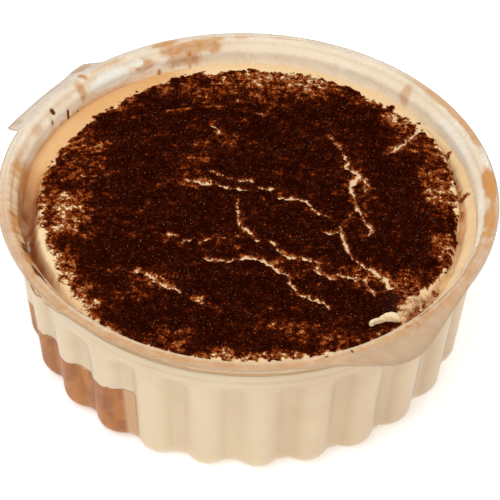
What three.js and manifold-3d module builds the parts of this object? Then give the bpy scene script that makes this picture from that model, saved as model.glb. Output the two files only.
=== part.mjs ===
// Tiramisu in a round fluted plastic tub with its lid off: the tub with its flange and two pull
// tabs, the mascarpone cream that fills it, the soaked sponge that shows through the wall, and a
// curl of cream on top. Millimetres, +Z up, origin at the centre of the tub's base.
// Azimuths are in degrees from -Y towards +X.
import * as THREE from "three";
import Module from "manifold-3d";

// Tub wall
const wallThickness = 0.6;
const baseRadius = 58.9; // flat panels between the flutes, carried down to the base plane
const wallDraft = 0.115; // outward lean of the panels, millimetres per millimetre of height
const baseFillet = 7.4;
const shoulderLow = 34; // the flutes start to end here
const shoulderHigh = 38; // and have ended here
const bandRadius = 65.3; // smooth band above the flutes
const bandTop = 47.4; // the band ends here and flares out to the flange
const bandTopRadius = 65.8;

// Flutes
const fluteCount = 25;
const firstFlute = 4.81;
const fluteDepth = 2.6;
const fluteShare = 0.73; // part of each pitch that is rounded
const fluteSteps = [-1, -0.6, 0, 0.6, 1]; // corners of one flute, as shares of its half width

// Flange
const tubHeight = 50.9;
const flangeThickness = 0.6;
const flangeInner = 68;
const flangeBend = 69.3; // a tab bends down from here
const lipRadius = 71;
const lipDraft = 0.1; // the lip's edge leans in by this much at its underside
const tabSlope = 0.59; // droop of a tab, for each millimetre that it reaches past the lip

// Pull tabs: straight edges that stand off the lip, each with its normal's azimuth
const cornerTab = { azimuth: 37, tangent: 25.8, corner: 76.6 };
const chordTab = { azimuth: -125.8, edge: 73.75, half: 13.2, fade: 5 };

// Contents
const fillGap = 0.3; // clearance between solids that touch
const creamLevel = 43.6;
const creamDome = 1.0;
const creamEdge = 60; // the top stays level out to here
const edgeDip = 1.4; // fall of the top from its edge to the wall
const sideGap = { azimuth: -80, half: 26, depth: 5.5 }; // the cream has shrunk from the wall here
const spongeCentre = { azimuth: -84, distance: 17 };
const spongeRadius = 52;
const spongeTop = 19.6;
const spongeRise = { azimuth: 10, slope: 0.12 };
const curl = { from: [33.2, -43.6], to: [42.6, -39.6], bow: 0.9, width: 4.2, height: 2.8, taper: 0.55 };
const curlSteps = 8;
const curlSides = 8;

const radians = THREE.MathUtils.degToRad;
const degrees = THREE.MathUtils.radToDeg;

const materials = {
  tub: new THREE.MeshStandardMaterial({ color: 0xdcd2c4, roughness: 0.25, metalness: 0 }),
  cream: new THREE.MeshStandardMaterial({ color: 0xead0a0, roughness: 0.6, metalness: 0 }),
  sponge: new THREE.MeshStandardMaterial({ color: 0xb57a48, roughness: 0.85, metalness: 0 }),
};

// Difference between two azimuths, from -180 to 180
function turn(azimuth, from) {
  return THREE.MathUtils.euclideanModulo(azimuth - from + 180, 360) - 180;
}

function smooth(share) {
  return THREE.MathUtils.smoothstep(share, 0, 1);
}

// The azimuths at which every ring has a corner, the same on all of them
function ringAzimuths() {
  const pitch = 360 / fluteCount;
  const azimuths = [];
  for (let flute = 0; flute < fluteCount; flute += 1) {
    for (const step of fluteSteps) {
      azimuths.push(firstFlute + pitch * (flute + (step * fluteShare) / 2));
    }
  }
  return azimuths;
}

// Height of a flute over the flat panels, as a share of its depth
function fluteHeight(azimuth) {
  const pitch = 360 / fluteCount;
  const across = THREE.MathUtils.euclideanModulo(azimuth - firstFlute + pitch / 2, pitch) - pitch / 2;
  const share = across / ((pitch * fluteShare) / 2);
  return Math.max(0, 1 - share * share);
}

// Outer radius of the tub's wall, up to the flare under the flange
function wallRadius(azimuth, z) {
  const panel = baseRadius + wallDraft * Math.min(z, shoulderLow);
  const fluted = panel + fluteDepth * fluteHeight(azimuth);
  const climb = THREE.MathUtils.inverseLerp(shoulderHigh, bandTop, z);
  const band = THREE.MathUtils.lerp(bandRadius, bandTopRadius, Math.max(climb, 0));
  const blend = smooth((z - shoulderLow) / (shoulderHigh - shoulderLow));
  return THREE.MathUtils.lerp(fluted, band, blend);
}

// Radius of the lip's outer edge, with both tabs
function rimRadius(azimuth) {
  const atCorner = Math.abs(turn(azimuth, cornerTab.azimuth));
  const atChord = Math.abs(turn(azimuth, chordTab.azimuth));
  if (atCorner < cornerTab.tangent) {
    const edge = lipRadius / Math.cos(radians(cornerTab.tangent - atCorner));
    return Math.min(edge, cornerTab.corner);
  }
  if (atChord < chordTab.half + chordTab.fade) {
    const edge = chordTab.edge / Math.cos(radians(Math.min(atChord, chordTab.half)));
    const fade = smooth((atChord - chordTab.half) / chordTab.fade);
    return THREE.MathUtils.lerp(edge, lipRadius, fade);
  }
  return lipRadius;
}

function lipHeight(azimuth) {
  return tubHeight - tabSlope * (rimRadius(azimuth) - lipRadius);
}

// Rings of the tub's outer surface moved inwards by inset, from the base centre up to a height
function wallRings(inset) {
  const corner = baseFillet - inset;
  const filletPoint = (share) => (azimuth) => {
    const bend = radians(90 * share);
    const centre = wallRadius(azimuth, baseFillet) - baseFillet;
    return [centre + corner * Math.sin(bend), baseFillet - corner * Math.cos(bend)];
  };
  const wallPoint = (z) => (azimuth) => [wallRadius(azimuth, z) - inset, z];
  return [
    filletPoint(0),
    filletPoint(0.5),
    filletPoint(1),
    wallPoint(shoulderLow),
    wallPoint(shoulderHigh),
  ];
}

// Closed mesh through rings of [radius, height], between two points on the axis
function ringSolid(startHeight, rings, endHeight) {
  const azimuths = ringAzimuths();
  const count = azimuths.length;
  const corners = [new THREE.Vector3(0, 0, startHeight)];
  for (const ring of rings) {
    for (const azimuth of azimuths) {
      const [radius, z] = ring(azimuth);
      const bend = radians(azimuth);
      corners.push(new THREE.Vector3(radius * Math.sin(bend), -radius * Math.cos(bend), z));
    }
  }
  const end = corners.push(new THREE.Vector3(0, 0, endHeight)) - 1;
  const faces = [];
  for (let corner = 0; corner < count; corner += 1) {
    const next = (corner + 1) % count;
    faces.push(0, 1 + next, 1 + corner);
    for (let ring = 0; ring + 1 < rings.length; ring += 1) {
      const low = 1 + ring * count;
      const high = low + count;
      faces.push(...quad(corners, low + corner, low + next, high + next, high + corner));
    }
    const last = 1 + (rings.length - 1) * count;
    faces.push(end, last + corner, last + next);
  }
  return indexed(corners.flatMap((corner) => corner.toArray()), faces);
}

// Two triangles that share the quad's shorter diagonal, so that nested surfaces bend alike
function quad(corners, a, b, c, d) {
  if (corners[a].distanceTo(corners[c]) < corners[b].distanceTo(corners[d])) {
    return [a, b, c, a, c, d];
  }
  return [a, b, d, b, c, d];
}

function indexed(positions, faces) {
  const geometry = new THREE.BufferGeometry();
  geometry.setAttribute("position", new THREE.Float32BufferAttribute(positions, 3));
  geometry.setIndex(faces);
  return geometry;
}

// One thermoformed sheet: base, fluted wall, band, flared mouth, flange and tabs
function tubGeometry() {
  const outside = wallRings(0);
  const inside = wallRings(wallThickness).reverse();
  const underside = tubHeight - flangeThickness;
  const flange = [
    () => [bandTopRadius, bandTop],
    () => [flangeInner, underside],
    () => [flangeBend, underside],
    (azimuth) => [rimRadius(azimuth) - lipDraft, lipHeight(azimuth) - flangeThickness],
    (azimuth) => [rimRadius(azimuth), lipHeight(azimuth)],
    () => [flangeBend, tubHeight],
    () => [flangeInner, tubHeight],
    () => [bandTopRadius - wallThickness, bandTop],
  ];
  return ringSolid(0, [...outside, ...flange, ...inside], wallThickness);
}

// Height of the cream's top
function creamTop(azimuth, radius) {
  const x = radius * Math.sin(radians(azimuth));
  const y = -radius * Math.cos(radians(azimuth));
  const dome = creamDome * (1 - (radius / creamEdge) ** 2);
  const waves = 0.25 * Math.sin(x / 11 + 0.6) * Math.cos(y / 13 - 0.4) + 0.15 * Math.sin((x - y) / 7);
  return creamLevel + Math.max(dome, 0) + waves;
}

// How far the cream has sunk where it meets the wall
function edgeSink(azimuth) {
  const across = Math.abs(turn(azimuth, sideGap.azimuth)) / sideGap.half;
  return edgeDip + sideGap.depth * smooth(1.4 - across * 1.4);
}

function creamGeometry() {
  const inset = wallThickness + fillGap;
  const sides = wallRings(inset);
  const edgePoint = (azimuth) => {
    const z = creamTop(azimuth, creamEdge) - edgeSink(azimuth);
    return [wallRadius(azimuth, Math.max(z, shoulderHigh)) - inset, Math.max(z, shoulderHigh + 0.2)];
  };
  const topPoint = (radius, sink) => (azimuth) => [
    radius,
    creamTop(azimuth, radius) - sink * edgeSink(azimuth),
  ];
  const top = [
    edgePoint,
    topPoint(creamEdge + 2, 0.5),
    topPoint(creamEdge, 0),
    topPoint(46, 0),
    topPoint(30, 0),
    topPoint(14, 0),
  ];
  return ringSolid(inset, [...sides, ...top], creamTop(0, 0));
}

// The tub's hollow up to the shoulder, less the clearance
function hollowGeometry() {
  const inset = wallThickness + fillGap;
  return ringSolid(inset, wallRings(inset), shoulderHigh);
}

// Round slab of sponge that leans against the wall on one side, its top rising to the front
function slabGeometry(spare) {
  const centreX = spongeCentre.distance * Math.sin(radians(spongeCentre.azimuth));
  const centreY = -spongeCentre.distance * Math.cos(radians(spongeCentre.azimuth));
  const slab = new THREE.CylinderGeometry(spongeRadius + spare, spongeRadius + spare, 1, 48, 1);
  slab.rotateX(radians(90));
  const positions = slab.getAttribute("position");
  const riseX = Math.sin(radians(spongeRise.azimuth)) * spongeRise.slope;
  const riseY = -Math.cos(radians(spongeRise.azimuth)) * spongeRise.slope;
  for (let index = 0; index < positions.count; index += 1) {
    const x = positions.getX(index) + centreX;
    const y = positions.getY(index) + centreY;
    const top = spongeTop + riseX * x + riseY * y + spare;
    positions.setXYZ(index, x, y, positions.getZ(index) > 0 ? top : -spare);
  }
  return slab;
}

// Curl of cream: a bowed tongue, fatter at its far end, flat below, resting on the cream
function curlGeometry() {
  const [fromX, fromY] = curl.from;
  const [toX, toY] = curl.to;
  const along = new THREE.Vector2(toX - fromX, toY - fromY);
  const side = new THREE.Vector2(-along.y, along.x).normalize();
  const rest = restHeight(along);
  const positions = [];
  for (let step = 0; step <= curlSteps; step += 1) {
    const share = step / curlSteps;
    const bow = curl.bow * Math.sin(Math.PI * share);
    const roundEnd = Math.sqrt(Math.sin(Math.PI * (0.06 + 0.88 * share)));
    const fat = roundEnd * THREE.MathUtils.lerp(curl.taper, 1, share);
    for (let corner = 0; corner < curlSides; corner += 1) {
      const bend = (Math.PI * corner) / (curlSides - 1);
      const across = bow + (curl.width / 2) * fat * Math.cos(bend);
      const up = curl.height * fat * Math.sin(bend);
      positions.push(fromX + along.x * share + side.x * across);
      positions.push(fromY + along.y * share + side.y * across, rest + up);
    }
  }
  return indexed(positions, tubeFaces(curlSteps, curlSides));
}

// Height just above the cream everywhere under the curl
function restHeight(along) {
  let highest = 0;
  for (let share = 0; share <= 1; share += 0.1) {
    const x = curl.from[0] + along.x * share;
    const y = curl.from[1] + along.y * share;
    const azimuth = degrees(Math.atan2(x, -y));
    highest = Math.max(highest, creamTop(azimuth, Math.hypot(x, y)));
  }
  return highest + fillGap;
}

// Faces of a row of equal rings, closed by a fan at each end
function tubeFaces(steps, sides) {
  const faces = [];
  for (let corner = 0; corner < sides; corner += 1) {
    const next = (corner + 1) % sides;
    for (let step = 0; step < steps; step += 1) {
      const low = step * sides;
      const high = low + sides;
      faces.push(low + corner, low + next, high + next);
      faces.push(low + corner, high + next, high + corner);
    }
  }
  const last = steps * sides;
  for (let corner = 1; corner + 1 < sides; corner += 1) {
    faces.push(0, corner + 1, corner);
    faces.push(last, last + corner, last + corner + 1);
  }
  return faces;
}

const wasm = await Module();
wasm.setup();

function toSolid(geometry) {
  const places = new Map();
  const corners = [];
  const merged = [];
  const positions = geometry.getAttribute("position");
  for (let index = 0; index < positions.count; index += 1) {
    const place = [positions.getX(index), positions.getY(index), positions.getZ(index)];
    const key = place.map((value) => value.toFixed(4)).join(",");
    if (!places.has(key)) {
      places.set(key, merged.length / 3);
      merged.push(...place);
    }
    corners.push(places.get(key));
  }
  const triangles = Array.from(geometry.getIndex().array, (index) => corners[index]);
  const vertProperties = new Float32Array(merged);
  const triVerts = new Uint32Array(triangles);
  return new wasm.Manifold(new wasm.Mesh({ numProp: 3, vertProperties, triVerts }));
}

function toGeometry(solid) {
  const mesh = solid.getMesh();
  return indexed(Array.from(mesh.vertProperties), Array.from(mesh.triVerts));
}

const group = new THREE.Group();

function addPart(name, geometry, material) {
  geometry.computeVertexNormals();
  const mesh = new THREE.Mesh(geometry, material);
  mesh.name = name;
  group.add(mesh);
}

const sponge = toSolid(hollowGeometry()).intersect(toSolid(slabGeometry(0)));
const cream = toSolid(creamGeometry()).subtract(toSolid(slabGeometry(fillGap)));

addPart("tub", tubGeometry(), materials.tub);
addPart("cream", toGeometry(cream), materials.cream);
addPart("sponge", toGeometry(sponge), materials.sponge);
addPart("cream_curl", curlGeometry(), materials.cream);

export default group;
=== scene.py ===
"""Tiramisu in a clear fluted tub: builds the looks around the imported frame.

Lengths are in metres, and azimuths run from -Y towards +X. The tub stands on z = 0.
"""

import math

import bmesh
import bpy
import numpy as np
from mathutils import Matrix, Vector


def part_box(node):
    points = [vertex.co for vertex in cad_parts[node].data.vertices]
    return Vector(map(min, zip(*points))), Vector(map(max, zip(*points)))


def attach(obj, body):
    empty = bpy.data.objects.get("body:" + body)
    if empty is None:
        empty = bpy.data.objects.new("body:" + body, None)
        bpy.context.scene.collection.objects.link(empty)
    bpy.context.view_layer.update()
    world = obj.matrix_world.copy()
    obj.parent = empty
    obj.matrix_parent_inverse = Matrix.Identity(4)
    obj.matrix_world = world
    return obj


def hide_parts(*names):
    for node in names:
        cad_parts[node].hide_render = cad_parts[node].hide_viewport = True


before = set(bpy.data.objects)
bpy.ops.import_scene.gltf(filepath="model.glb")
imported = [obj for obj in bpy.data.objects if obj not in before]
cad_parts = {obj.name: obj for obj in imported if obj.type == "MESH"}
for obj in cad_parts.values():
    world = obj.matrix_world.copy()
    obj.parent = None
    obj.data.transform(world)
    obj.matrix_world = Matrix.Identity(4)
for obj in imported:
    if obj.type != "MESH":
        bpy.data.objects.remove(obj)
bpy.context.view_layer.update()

bl_info = {
    "name": "Tiramisu Tub",
    "version": (1, 0, 0),
    "blender": (4, 5, 0),
    "location": "View3D > Sidebar > Tiramisu",
    "description": "Builds a tiramisu in a clear fluted tub, piece by piece",
    "category": "Add Mesh",
}

MM = 0.001
SQUARE_CENTIMETRE = 1e-4
BODY = "root"
TUB_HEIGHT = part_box("tub")[1].z
LIP_RADIUS = (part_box("tub")[1].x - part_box("tub")[0].x) / 2
WHITE = (1.0, 1.0, 1.0, 1.0)


def paint(red, green, blue):
    """Linear colour of a paint given in display values from 0 to 255."""
    shares = np.array([red, green, blue]) / 255
    linear = np.where(shares <= 0.04045, shares / 12.92, ((shares + 0.055) / 1.055) ** 2.4)
    return tuple(float(share) for share in linear)


def length(name, description, default):
    """Setting in metres."""
    return bpy.props.FloatProperty(
        name=name, description=description, default=default, min=0.0, precision=5, unit="LENGTH"
    )


def angle(name, description, degrees):
    """Setting in degrees, kept in radians."""
    return bpy.props.FloatProperty(
        name=name, description=description, default=math.radians(degrees), subtype="ANGLE"
    )


def share(name, description, default):
    """Setting from 0 to 1."""
    return bpy.props.FloatProperty(
        name=name, description=description, default=default, min=0.0, max=1.0, subtype="FACTOR"
    )


def colour(name, description, red, green, blue):
    """Setting for a paint, given in display values from 0 to 255."""
    default = paint(red, green, blue)
    return bpy.props.FloatVectorProperty(
        name=name, description=description, default=default, min=0.0, max=1.0, subtype="COLOR"
    )


# ---------------------------------------------------------------- settings


class TiramisuTubSizes(bpy.types.PropertyGroup):
    """Sizes of the thermoformed tub."""

    wall: length("Wall", "Thickness of the plastic sheet", 0.6 * MM)
    base_radius: length("Base radius", "Flat panels carried down to the floor", 58.9 * MM)
    lean: share("Wall lean", "Outward lean of the panels, length per height", 0.115)
    foot_round: length("Foot rounding", "Radius where the wall meets the base", 7.4 * MM)
    shoulder_low: length("Shoulder start", "Height where the flutes start to end", 34 * MM)
    shoulder_high: length("Shoulder end", "Height where the flutes have ended", 38 * MM)
    band_radius: length("Band radius", "Smooth band above the flutes", 65.3 * MM)
    band_top: length("Band top", "Height where the band starts to flare", 47.4 * MM)
    band_top_radius: length("Band top radius", "Radius of the band at its top", 65.8 * MM)
    flange_inner: length("Flange inner radius", "Where the flare meets the flange", 68 * MM)
    flange_bead: length("Bead radius", "Fine raised line along the flange", 69.2 * MM)
    flutes: bpy.props.IntProperty(
        name="Flutes", description="Rounded flutes round the wall", default=25, min=3, max=60
    )
    first_flute: angle("First flute", "Azimuth of one flute's middle", 4.81)
    flute_depth: length("Flute depth", "How far a flute stands out", 2.6 * MM)
    flute_share: share("Flute share", "Rounded part of each pitch", 0.73)
    tab_slope: share("Tab droop", "Droop of a tab for each length past the lip", 0.59)


class TiramisuPlasticLook(bpy.types.PropertyGroup):
    """Finish of the clear plastic and of the film left on it."""

    haze: colour("Haze", "Milky colour of the plastic", 208, 188, 158)
    clouding: share("Clouding", "How much one face of the wall hides", 0.06)
    rim_clouding: share("Rim clouding", "How much more one face of the flange hides", 0.34)
    edge_tint: colour("Edge tint", "Colour along the cut lip", 178, 148, 114)
    milk_film: colour("Milk film", "Thin cream left on the wall", 248, 230, 200)
    pale_film: colour("Pale film", "Thicker cream left on the wall", 250, 243, 228)
    coffee_film: colour("Coffee film", "Coffee and cocoa left on the wall", 212, 146, 74)
    dark_film: colour("Dark film", "Cocoa left on the wall", 96, 46, 16)


class TiramisuCreamLook(bpy.types.PropertyGroup):
    """Shape and colours of the cream."""

    level: length("Level", "Height of the cream's top", 43.6 * MM)
    dome: length("Dome", "Rise of the top towards its middle", 0.7 * MM)
    reach: length("Reach", "How far the filling reaches into the wall", 0.25 * MM)
    fresh: colour("Fresh cream", "Mascarpone cream", 242, 214, 168)
    shade: colour("Warm cream", "Cream that has taken up coffee", 223, 174, 118)
    side: colour("Pressed cream", "Cream seen through the wall", 215, 195, 162)
    # Colour of the warmer clouds, also painted as shade on the cream seen through the wall
    side_clouds_and_shade: colour("Pressed warm cream", "Its warmer clouds", 198, 168, 132)
    # Colour of coffee stains, also painted as shade in the groove at the right
    wet_and_shaded: colour("Coffee stain", "Coffee that has run down beside the cream", 178, 112, 62)
    crack_depth: length("Crack depth", "Depth of the cracks in the top", 0.75 * MM)


class TiramisuCocoaLook(bpy.types.PropertyGroup):
    """Cocoa dusting and its loose grains."""

    deep: colour("Deepest cocoa", "Where the dusting is thickest", 34, 6, 1)
    dark: colour("Thick cocoa", "Where the dusting is thick and moist", 56, 16, 4)
    brown: colour("Cocoa", "Where the dusting is even", 112, 40, 8)
    thin: colour("Thin cocoa", "Where cream shows through", 178, 94, 36)
    # Colour of the painted highlights on the crust and on the loose grains
    glint: colour("Glint", "Grains that catch the light", 174, 124, 94)
    relief: length("Relief", "Height of the dusting's lumps", 0.42 * MM)
    grain: length("Grain size", "Radius of a loose grain", 0.24 * MM)
    clump: length("Clump size", "Radius of a loose clump", 0.5 * MM)
    grains: bpy.props.FloatProperty(
        name="Grains", description="Loose grains for each square centimetre", default=52, min=0
    )
    clumps: bpy.props.FloatProperty(
        name="Clumps", description="Loose clumps for each square centimetre", default=7, min=0
    )


class TiramisuSpongeLook(bpy.types.PropertyGroup):
    """Place and colours of the soaked sponge."""

    azimuth: angle("Azimuth", "Side of the tub that the sponge leans to", -84)
    offset: length("Offset", "Distance of its middle from the tub's axis", 17 * MM)
    radius: length("Radius", "Radius of the slab", 52 * MM)
    held_half: angle("Held half", "Half of the arc that is pressed against the wall", 55.6)
    top: length("Top", "Height of its top over the tub's middle", 18.4 * MM)
    rise_azimuth: angle("Rise azimuth", "Side towards which its top climbs", 14)
    rise: share("Rise", "Climb of its top, height per length", 0.13)
    crumb: colour("Crumb", "Soaked sponge", 180, 112, 46)
    crumb_dark: colour("Dark crumb", "Sponge that holds the most coffee", 142, 76, 24)


SETTINGS = {
    "tiramisu_tub": TiramisuTubSizes,
    "tiramisu_plastic": TiramisuPlasticLook,
    "tiramisu_cream": TiramisuCreamLook,
    "tiramisu_cocoa": TiramisuCocoaLook,
    "tiramisu_sponge": TiramisuSpongeLook,
}


def settings_of(context, *names):
    """The scene's settings of the given names."""
    return [getattr(context.scene, "tiramisu_" + name) for name in names]


# ---------------------------------------------------------------- shape rules


def soft(value):
    """Smooth step from 0 to 1 as value goes from 0 to 1."""
    held = np.clip(value, 0.0, 1.0)
    return held * held * (3 - 2 * held)


def turn(azimuth, start):
    """Difference between two azimuths, within half a turn."""
    return (azimuth - start + np.pi) % (2 * np.pi) - np.pi


def round_table(azimuth, knots):
    """Closed smooth curve through values at (azimuth in degrees, value) knots."""
    places = np.radians([place for place, _ in knots])
    values = np.array([value for _, value in knots], float)
    places = np.append(places, places[0] + 2 * np.pi)
    values = np.append(values, values[0])
    wrapped = (azimuth - places[0]) % (2 * np.pi) + places[0]
    index = np.clip(np.searchsorted(places, wrapped, "right") - 1, 0, len(knots) - 1)
    step = (wrapped - places[index]) / (places[index + 1] - places[index])
    return values[index] + (values[index + 1] - values[index]) * soft(step)


NOISE_TABLE = 256


def lattice_noise(x, y, size, seed):
    """Smooth random values from 0 to 1 over a plane, with lumps of the given size."""
    table = np.random.default_rng(seed).random((NOISE_TABLE, NOISE_TABLE))
    across = x / size
    along = y / size
    column = np.floor(across).astype(int)
    row = np.floor(along).astype(int)
    right = soft(across - column)
    up = soft(along - row)
    low, high = (
        table[line % NOISE_TABLE, column % NOISE_TABLE] * (1 - right)
        + table[line % NOISE_TABLE, (column + 1) % NOISE_TABLE] * right
        for line in (row, row + 1)
    )
    return low * (1 - up) + high * up


def layered_noise(x, y, size, seed, layers=3):
    """Lattice noise with finer and fainter lumps added, about 0 to 1."""
    total = np.zeros(np.shape(x))
    weight = 0.0
    for layer in range(layers):
        strength = 0.5**layer
        total = total + strength * lattice_noise(x, y, size * strength, seed + layer)
        weight += strength
    return total / weight


def unevenness(x, y, size, seed, layers=3):
    """Layered noise that swings about 0, by half at most."""
    return layered_noise(x, y, size, seed, layers) - 0.5


FLUTE_SOFT_FOOT = 0.07


def flute_height(tub, azimuth):
    """Rise of the flutes over the panels, as a share of their depth."""
    pitch = 2 * np.pi / tub.flutes
    across = (azimuth - tub.first_flute + pitch / 2) % pitch - pitch / 2
    rise = 1 - (across / (pitch * tub.flute_share / 2)) ** 2
    return FLUTE_SOFT_FOOT * np.log1p(np.exp(rise / FLUTE_SOFT_FOOT))


def wall_radius(tub, azimuth, z):
    """Outer radius of the wall, up to the flange."""
    panel = tub.base_radius + tub.lean * np.minimum(z, tub.shoulder_low)
    fluted = panel + tub.flute_depth * flute_height(tub, azimuth)
    climb = np.clip((z - tub.shoulder_high) / (tub.band_top - tub.shoulder_high), 0, 1)
    band = tub.band_radius + (tub.band_top_radius - tub.band_radius) * climb
    flare = soft((z - tub.band_top) / (TUB_HEIGHT - tub.band_top)) ** 1.5
    band = band + (tub.flange_inner - tub.band_top_radius) * flare
    blend = soft((z - tub.shoulder_low) / (tub.shoulder_high - tub.shoulder_low))
    return fluted * (1 - blend) + band * blend


def foot_points(tub, azimuth, inset, bend):
    """Radius and height on the rounding between base and wall, bend running from 0 to 1."""
    corner = tub.foot_round - inset
    centre = wall_radius(tub, azimuth, tub.foot_round) - tub.foot_round
    turned = bend * np.pi / 2
    height = tub.foot_round - corner * np.cos(turned)
    return centre + corner * np.sin(turned), height + 0 * azimuth


# The pointed tab and the straight-edged tab: azimuths and spans in degrees
CORNER_TAB = {"azimuth": 37, "tangent": 25.8, "corner": 76.6 * MM, "rounding": 0.9 * MM}
CHORD_TAB = {
    "azimuth": -125.8, "edge": 73.5 * MM, "half": 13.6, "fade": 2.6,
    "ear": 1.4 * MM, "ear_from": 5, "ear_fade": 7,
}  # fmt: skip


def lip_radius(azimuth):
    """Radius of the lip, which leaves the circle along the two tabs."""
    at_corner = np.abs(turn(azimuth, math.radians(CORNER_TAB["azimuth"])))
    closing = np.clip(math.radians(CORNER_TAB["tangent"]) - at_corner, 0, None)
    pointed = LIP_RADIUS / np.cos(closing)
    corner, rounding = CORNER_TAB["corner"], CORNER_TAB["rounding"]
    blunt = corner - rounding * np.log1p(np.exp((corner - pointed) / rounding))
    half = math.radians(CHORD_TAB["half"])
    chord_turn = turn(azimuth, math.radians(CHORD_TAB["azimuth"]))
    at_chord = np.abs(chord_turn)
    straight = CHORD_TAB["edge"] / np.cos(np.minimum(at_chord, half))
    past_ear = -chord_turn - math.radians(CHORD_TAB["ear_from"])
    straight = straight + CHORD_TAB["ear"] * soft(past_ear / math.radians(CHORD_TAB["ear_fade"]))
    fade = soft((at_chord - half) / math.radians(CHORD_TAB["fade"]))
    chord = straight * (1 - fade) + LIP_RADIUS * fade
    this_side = at_chord < 1.5
    return np.maximum(LIP_RADIUS, np.maximum(blunt, chord * this_side))


def lip_droop(tub, azimuth):
    """How far the lip hangs below the flange, which it does along the tabs."""
    return tub.tab_slope * (lip_radius(azimuth) - LIP_RADIUS)


# Edge of the cream's level top, and edge of its cocoa: (azimuth in degrees, millimetres)
CREAM_EDGE = [
    (-180, 65.2), (-150, 64.6), (-135, 63.2), (-120, 60.8), (-105, 59.8), (-90, 59.0), (-75, 59.6),
    (-60, 59.8), (-45, 61.4), (-30, 61.6), (0, 61.2), (30, 61.0), (45, 60.6), (60, 59.6), (75, 59.2),
    (90, 59.6), (105, 61.0), (120, 63.2), (135, 65.0), (150, 65.2),
]  # fmt: skip
COCOA_EDGE = [
    (-180, 61.6), (-171, 61.3), (-161, 61.6), (-150, 60.2), (-137, 58.9), (-125, 58.9), (-115, 58.7),
    (-105, 59.0), (-95, 58.8), (-87, 57.6), (-77, 56.8), (-67, 57.0), (-54, 58.0), (-46, 59.2),
    (-37, 60.2), (-20, 60.5), (-10, 59.9), (0, 59.5), (10, 59.5), (20, 60.2), (30, 61.0), (40, 61.8),
    (44, 60.6), (48, 56.8), (53, 55.4), (58, 57.4), (65, 59.2), (72, 59.3), (80, 59.0), (90, 59.0),
    (100, 59.5), (110, 61.2), (118, 62.4), (124, 62.6), (130, 62.0), (138, 62.4), (143, 61.4),
    (147, 61.6), (152, 62.8), (161, 62.6), (171, 61.9),
]  # fmt: skip

# Cracks in the top: half width, then a route of (x, y), all in millimetres
CRACKS = [
    (0.15, [(22, 34), (25, 31), (27.5, 26)]),
    (0.62, [(27.5, 26), (28.5, 23), (27.5, 21), (31.5, 17), (29, 12), (30.5, 6), (31, 3)]),
    (0.5, [(31, 3), (33, -1), (34.5, -5), (34, -8)]), (0.25, [(31.5, 17), (34, 13), (33.5, 9)]),
    (0.4, [(22.5, -7.5), (26, -7), (27, -3.5), (29, 0)]),
    (0.5, [(27, -7.5), (28, -14), (31, -19), (35, -22), (38, -24.5), (40, -29)]),
    (0.45, [(9, 6.5), (14, 6), (16.5, 5), (18, 3)]), (0.25, [(18, 3), (20, 0), (23, -1)]),
    (0.35, [(-11, 17), (-8, 15.5), (-4, 13.5), (1, 12.5)]),
    (0.4, [(-17, 12.5), (-12, 11.5), (-6, 10.5), (0, 9), (4, 10), (7, 9.8)]),
    (0.35, [(-3, 4), (-3, 1), (-2, -6), (0, -7.5), (2, -10), (3.5, -12)]),
    (0.45, [(7, -12.5), (9.5, -16), (11.5, -18.5), (14, -18), (17, -19), (21, -20)]),
    (0.5, [(-12, -19.5), (-9, -20.5), (-5, -20.5), (-3, -19), (0, -19), (5, -20), (7, -22)]),
    (0.5, [(7, -22), (9, -24), (12, -26), (13, -30), (15, -33), (19, -34.5), (24, -38)]),
    (0.45, [(20, -22), (21, -24.5), (25, -26.5)]),
    (0.35, [(25, -24.5), (30, -25.5), (33, -26), (34, -30), (36, -31.5)]),
    (0.3, [(-22, -10), (-20, -11)]), (0.5, [(-18, -13), (-16, -12)]),
    (0.4, [(-13.5, -13.5), (-11, -12)]),
    (0.55, [(-31, -25), (-27, -27), (-25, -29.5), (-22, -31), (-18, -33.5)]),
    (0.15, [(-15, -36), (-11, -38), (-7, -40)]), (0.55, [(40, 27), (44, 31), (48, 36), (50, 39)]),
    (0.35, [(2, 43), (4, 42)]), (0.3, [(-11, 37), (-9, 34)]), (0.25, [(23, 37), (25, 34.5)]),
]  # fmt: skip

# Ridge pressed into the top near the far side, and the groove behind it
CREASE = [(-37, 38), (-30, 40.5), (-20, 43.5), (-12, 45.3), (-6, 45), (0, 43)]
CREASE_GROOVE = [(-24, 46.5), (-12, 48.5), (0, 49), (10, 48.5), (22, 48.5)]

# Places where the dusting is thin: x, y, half width and half depth in millimetres, and strength
THIN_PLACES = [
    (-52, 1, 10, 8, 0.66), (-50, -8, 9, 7, 0.5), (-48, 16, 10, 9, 0.45), (-47, 27, 9, 6, 0.4),
    (-52, -24, 8, 9, 0.48), (-45, -36, 7, 7, 0.36), (-57, -14, 5, 9, 0.4), (0, 50, 25, 5, 0.38),
    (6, 57, 18, 6, 0.52), (20, 56, 8, 5, 0.55), (-13, 56, 9, 6, 0.36), (-24, 52, 9, 5, 0.26),
    (-38, 45, 6, 5, 0.45), (44, 42, 8, 6, 0.7), (45, 31, 6, 6, 0.42), (54, 13, 7, 15, 0.52),
    (53, 29, 6, 7, 0.42), (55, -12, 5, 10, 0.42), (36, -26, 10, 7, 0.36), (47, -28, 8, 7, 0.46),
    (45, -36.5, 4, 3, 0.8), (38.5, -46.8, 4, 2.4, 0.5), (-43, -39, 5, 5, 0.56), (34, 50, 6, 4, 0.4),
    (25, -23, 8, 5, 0.26), (2, -58, 24, 3.6, 0.52), (10, -47, 12, 5, 0.28), (-20, -52, 10, 6, 0.36),
    (22, -50, 14, 6, 0.36), (-25, -29, 9, 5, 0.42), (-33, -35, 8, 5, 0.3), (-12, 28, 10, 8, 0.26),
    (-18, 19, 8, 5, 0.28), (-16, 12, 12, 4, 0.3), (13, -22, 12, 6, 0.24), (-5, -12, 6, 8, 0.18),
    (33, 6, 6, 16, 0.18), (29, 20, 5, 12, 0.18),
]  # fmt: skip

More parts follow.
